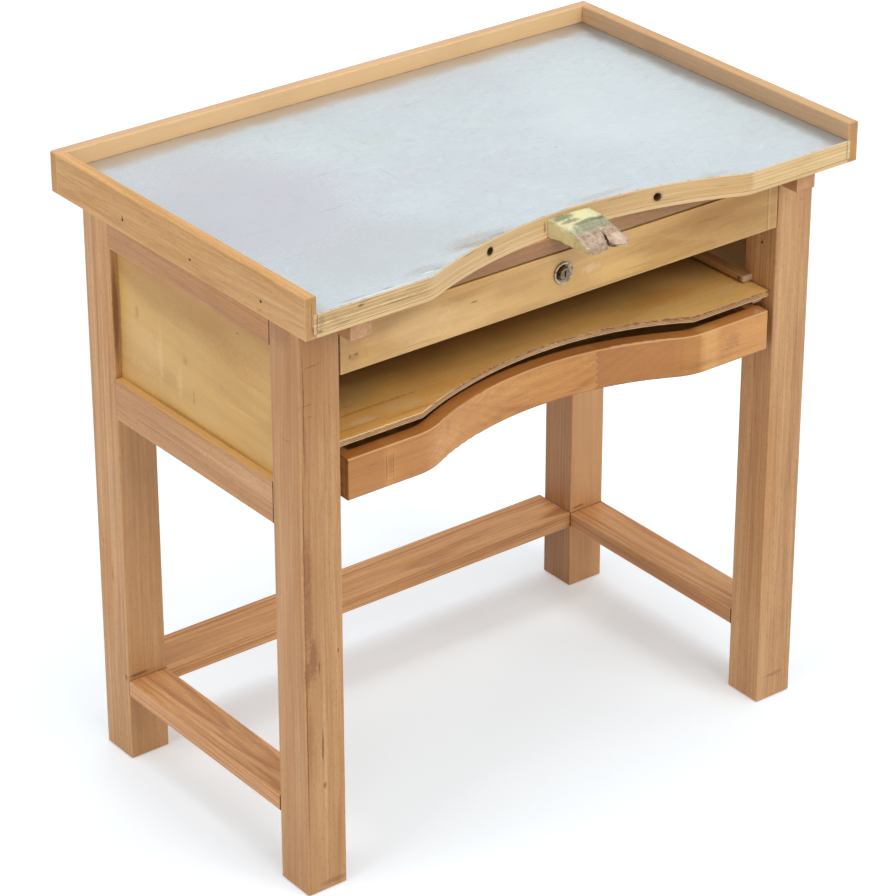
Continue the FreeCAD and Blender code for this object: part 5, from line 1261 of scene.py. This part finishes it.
class MakePin(bpy.types.Operator):
    """Carve and finish the bench pin"""
    bl_idname = "bench.pin"
    bl_label = "Bench pin"

    REACH = 0.077
    LEAN, SHIFT = 0.10, 0.0055
    TAPER, DROOP = 0.07, 0.0060
    RIDGE = 0.50
    NOTCH_AT, NOTCH_DEEP, NOTCH_HALF, NOTCH_LEFT = 0.010, 0.027, 0.015, 0.007
    PRONG_ROUNDING = 0.005
    WORN_TOP, SAW_CUTS, DENTS, WORN_TIP = 0.0022, 0.0030, 0.0012, 0.0022
    # Noise of the relief: waves per metre and strength
    ROUGHNESS = ((110, 1.0), (310, 0.6), (800, 0.35))

    def execute(self, context):
        source = NODES["bench_pin"].data.copy()
        block = bpy.data.objects.new("pin_block", source)
        context.scene.collection.objects.link(block)
        remesh = block.modifiers.new("cells", "REMESH")
        remesh.mode = "VOXEL"
        remesh.voxel_size = wear().pin_cell
        context.view_layer.update()
        even = bpy.data.meshes.new_from_object(block.evaluated_get(context.evaluated_depsgraph_get()))
        bpy.data.objects.remove(block)
        low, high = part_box("bench_pin")
        mouth = low.y + self.REACH
        points = [self.carve(vertex.co, vertex.normal, low, high, mouth) for vertex in even.vertices]
        faces = [tuple(polygon.vertices) for polygon in even.polygons]
        pin = add_piece("pin", points, faces, "pin", self.finish(low, mouth), smooth=True)
        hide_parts("bench_pin")
        return {"FINISHED"}

    def carve(self, place, normal, low, high, mouth):
        """Move one point of the block to where saw, file and years of work have left it."""
        out = max(0.0, (mouth - place.y) / (mouth - low.y))
        if out == 0.0:
            return place.copy()
        free = min(1.0, out * 6)
        rough = sum(strength * noise.noise(place * waves) for waves, strength in self.ROUGHNESS)
        moved = place + normal * rough * wear().pin_relief * free
        worn = max(0.0, (out - self.RIDGE) / (1 - self.RIDGE))
        if normal.z > 0.3:
            saw = abs(noise.noise(Vector((place.x * 60 + place.y * 25, place.y * 14, 1.3))))
            moved.z -= worn * self.WORN_TOP + worn * self.SAW_CUTS * max(0.0, 0.35 - saw)
            moved.z -= self.DENTS * free * max(0.0, noise.noise(place * 45))
        open_share = min(1.0, max(0.0, (low.y + self.NOTCH_DEEP - place.y) / self.NOTCH_DEEP))
        side = 1 if place.x > self.NOTCH_AT else -1
        inner = self.NOTCH_AT + side * self.NOTCH_HALF * open_share
        share = (place.x - inner) / (side * high.x - inner)
        if side > 0:
            narrow = self.NOTCH_AT + self.NOTCH_LEFT * open_share
            moved.x += (narrow - inner) * (1 - share) + self.NOTCH_LEFT * 0.7 * open_share * share
        moved.y += self.PRONG_ROUNDING * open_share ** 2 * (2 * share - 1) ** 2
        moved.x += self.SHIFT * min(1.0, out * 4) + self.LEAN * (mouth - low.y) * out
        moved.x -= self.TAPER * out * place.x
        moved.z -= self.DROOP * out
        moved.y += self.WORN_TIP * worn * (0.6 + noise.noise(Vector((place.x * 70, 5.0, place.z * 60))))
        moved.y = max(moved.y, low.y)
        moved.z = min(moved.z, high.z)
        return moved

    def finish(self, low, mouth):
        c = colours()
        finish = Finish("pin_finish")
        tree = finish.tree
        wood = Wood(c.pin_light, c.pin_dark, c.pin_light, 0.003, 0.4, 0.01, 0.3, 0.5, 0.62)
        finish.grain(wood, "bench_pin", "y", (0.05, 0.02), (0.02, 0.03))
        out = tree.math("DIVIDE", tree.minus(mouth, finish.along("y")), mouth - low.y)
        rough = finish.noise(55, 4, 0.65)
        upward = tree.step(finish.facing("z"), 0.2, 0.6)
        wavy = tree.plus(out, tree.centred(rough, 0.35))
        cream = finish.patches((30, 60, 60), 3, 0.6, 0.4, 0.62)
        finish.paint(tree.times(cream, upward), from_screen(226, 222, 172), 0.5)
        smear = tree.times(tree.step(wavy, 0.22, 0.40), tree.step(wavy, 0.74, 0.6))
        smear = tree.times(smear, finish.patches((60, 40, 40), 5, 0.72, 0.36, 0.56))
        smear = tree.times(smear, upward)
        finish.paint(smear, c.pin_smear, 0.75)
        rim = tree.times(tree.step(tree.math("ABSOLUTE", finish.along("x")), 0.016, 0.034), upward)
        streaky = finish.patches((220, 60, 60), 4, 0.7, 0.38, 0.58)
        finish.paint(tree.times(rim, streaky), c.pin_smear, 0.75)
        tip = tree.step(wavy, 0.50, 0.60)
        finish.paint(tree.times(tip, upward), c.pin_tip, 0.92)
        blotch = finish.patches((110, 70, 110), 5, 0.75, 0.42, 0.62)
        finish.paint(tree.times(blotch, tip), from_screen(132, 104, 84), 0.7)
        chalk = finish.patches((90, 200, 90), 4, 0.7, 0.56, 0.7)
        finish.paint(tree.times(chalk, tip), from_screen(222, 208, 200), 0.5)
        side = tree.step(finish.facing("z"), 0.5, 0.1)
        finish.paint(side, from_screen(204, 180, 122), 0.6)
        # Painted shade on the inner walls of the notch
        off_notch = tree.math("ABSOLUTE", tree.minus(finish.along("x"), self.NOTCH_AT + self.SHIFT))
        walls = tree.times(side, tree.step(off_notch, 0.022, 0.019))
        walls = tree.times(walls, finish.fade("y", 0.004, 0.008, low.y))
        walls = tree.times(walls, finish.fade("y", 0.036, 0.032, low.y))
        finish.paint(walls, from_screen(78, 52, 36), 0.85)
        finish.mark((
            Mark((20, -241, 908), (46, 20, 10), 0.75, (212, 209, 162), 0.9),
            Mark((-14, -237, 910), (26, 9, 7), 0.8, (100, 106, 80), 0.8),
            Mark((-7, -247, 907), (22, 5, 7), 0.7, (100, 106, 84), 0.9),
            Mark((12, -255, 904), (28, 5, 7), 0.75, (100, 104, 88), 0.9),
            Mark((35, -257, 903), (22, 5, 7), 0.85, (92, 98, 84), 0.9),
            Mark((8, -267, 900), (46, 12, 9), 0.5, (124, 128, 116), 1.4),
            Mark((-22, -256, 904), (12, 10, 6), 0.5, (214, 214, 178), 1.2),
            Mark((10, -272, 898), (34, 6, 6), 0.5, (128, 124, 106), 1.2),
            Mark((38, -296, 887), (20, 14, 12), 0.4, (232, 208, 188), 1.0),
            Mark((-6, -299, 885), (18, 9, 12), 0.4, (142, 118, 98), 1.2),
        ))
        finish.roughness = tree.plus(0.62, tree.centred(rough, 0.3))
        return finish.close(relief=0.0003)


# ---------------------------------------------------------------------------------------------------------
# Studio
# ---------------------------------------------------------------------------------------------------------

def lamp(name, power, place, size, target):
    """A square soft lamp that faces a point."""
    data = bpy.data.lights.new(name, "AREA")
    data.energy = power
    data.size = size
    thing = bpy.data.objects.new(name, data)
    thing.visible_glossy = False
    thing.location = place
    thing.rotation_euler = (Vector(target) - Vector(place)).to_track_quat("-Z", "Y").to_euler()
    bpy.context.scene.collection.objects.link(thing)


class SetStage(bpy.types.Operator):
    """Lay the floor, hang the lamps and stand the camera"""
    bl_idname = "bench.stage"
    bl_label = "Studio"

    FLOOR_SIDE = 60.0
    PLAIN_FLOOR, WHITE_FLOOR = 1.1, 4.5
    FLOOR_LIT, FLOOR_SEEN = (236, 236, 236), (231, 241, 249)
    LAMPS = (("top_lamp", (0.2, 0.1, 6.0), 6.0), ("front_lamp", (1.2, -5.6, 4.4), 5.0),
             ("side_lamp", (-5.8, -0.2, 3.2), 4.0))
    LAMP_TARGET = (0.0, 0.0, 0.5)
    CAMERA_RANGE = 100.0

    def execute(self, context):
        scene = context.scene
        scene.view_settings.view_transform = "Standard"
        self.lay_floor()
        self.light_surround(scene)
        settings = studio()
        for name, place, size in self.LAMPS:
            lamp(name, getattr(settings, name), place, size, self.LAMP_TARGET)
        camera = bpy.data.objects.new("camera", bpy.data.cameras.new("camera"))
        camera.data.lens = settings.lens
        camera.data.shift_y = settings.shift
        camera.data.clip_end = self.CAMERA_RANGE
        camera.location = settings.place
        camera.rotation_euler = (math.pi / 2 - settings.tilt, 0.0, settings.turn)
        scene.collection.objects.link(camera)
        scene.camera = camera
        return {"FINISHED"}

    def seen_directly(self, tree):
        """1 for what the camera sees, by itself or in a mirror or glass."""
        path = tree.add("LightPath").outputs
        direct = tree.math("MAXIMUM", path["Is Camera Ray"], path["Is Glossy Ray"])
        return tree.math("MAXIMUM", direct, path["Is Transmission Ray"])

    def lay_floor(self):
        mesh = bpy.data.meshes.new("floor")
        half = self.FLOOR_SIDE / 2
        mesh.from_pydata([(-half, -half, 0), (half, -half, 0), (half, half, 0), (-half, half, 0)], [],
                         [(0, 1, 2, 3)])
        floor = bpy.data.objects.new("floor", mesh)
        bpy.context.scene.collection.objects.link(floor)
        material = bpy.data.materials.new("floor_white")
        tree = emptied(material)
        seen = self.seen_directly(tree)
        tint = tree.mix(seen, from_screen(*self.FLOOR_LIT), from_screen(*self.FLOOR_SEEN))
        matt = tree.add("BsdfDiffuse", {"Color": tint})
        reach = tree.vector("LENGTH", tree.add("TexCoord").outputs["Object"])
        far = tree.step(reach, self.PLAIN_FLOOR, self.WHITE_FLOOR)
        lift = tree.times(seen, tree.math("MAXIMUM", far, studio().floor_glow))
        glow = tree.add("Emission", {"Color": (1, 1, 1), "Strength": lift})
        both = tree.add("AddShader", {0: matt.outputs[0], 1: glow.outputs[0]})
        tree.add("OutputMaterial", {"Surface": both.outputs[0]})
        mesh.materials.append(material)

    def light_surround(self, scene):
        world = bpy.data.worlds.new("surround")
        scene.world = world
        tree = emptied(world)
        lit = tree.add("Background", {"Color": (1, 1, 1), "Strength": studio().surround})
        seen = tree.add("Background", {"Color": (1, 1, 1), "Strength": 1.0})
        both = tree.add("MixShader", {0: self.seen_directly(tree), 1: lit.outputs[0], 2: seen.outputs[0]})
        tree.add("OutputWorld", {"Surface": both.outputs[0]})


# ---------------------------------------------------------------------------------------------------------
# Panel and start
# ---------------------------------------------------------------------------------------------------------

OPERATORS = (MakeNodeGroups, SetStage, FinishLegs, FinishRails, FinishStretchers, FinishPanels, FinishTop,
             FinishZinc, FinishRims, FinishStrips, FinishUpperDrawer, FinishLock, MakeTray,
             FinishLowerDrawer, MakePin)


class BenchPanel(bpy.types.Panel):
    """Lists the bench's pieces, sizes and colours"""
    bl_idname = "VIEW3D_PT_bench"
    bl_label = "Jewelers bench"
    bl_space_type = "VIEW_3D"
    bl_region_type = "UI"
    bl_category = "Bench"

    def draw(self, context):
        layout = self.layout
        for operator in OPERATORS:
            layout.operator(operator.bl_idname)
        for group in (context.scene.bench_wear, context.scene.bench_studio, context.scene.bench_colours):
            box = layout.box()
            for name in group.__annotations__:
                box.prop(group, name)


CLASSES = (BenchColours, BenchWear, BenchStudio, *OPERATORS, BenchPanel)


def register():
    for item in CLASSES:
        bpy.utils.register_class(item)
    bpy.types.Scene.bench_colours = PointerProperty(type=BenchColours)
    bpy.types.Scene.bench_wear = PointerProperty(type=BenchWear)
    bpy.types.Scene.bench_studio = PointerProperty(type=BenchStudio)


def unregister():
    del bpy.types.Scene.bench_colours
    del bpy.types.Scene.bench_wear
    del bpy.types.Scene.bench_studio
    for item in reversed(CLASSES):
        bpy.utils.unregister_class(item)


def main():
    register()
    for operator in OPERATORS:
        family, action = operator.bl_idname.split(".")
        getattr(getattr(bpy.ops, family), action)()


if __name__ == "__main__":
    main()
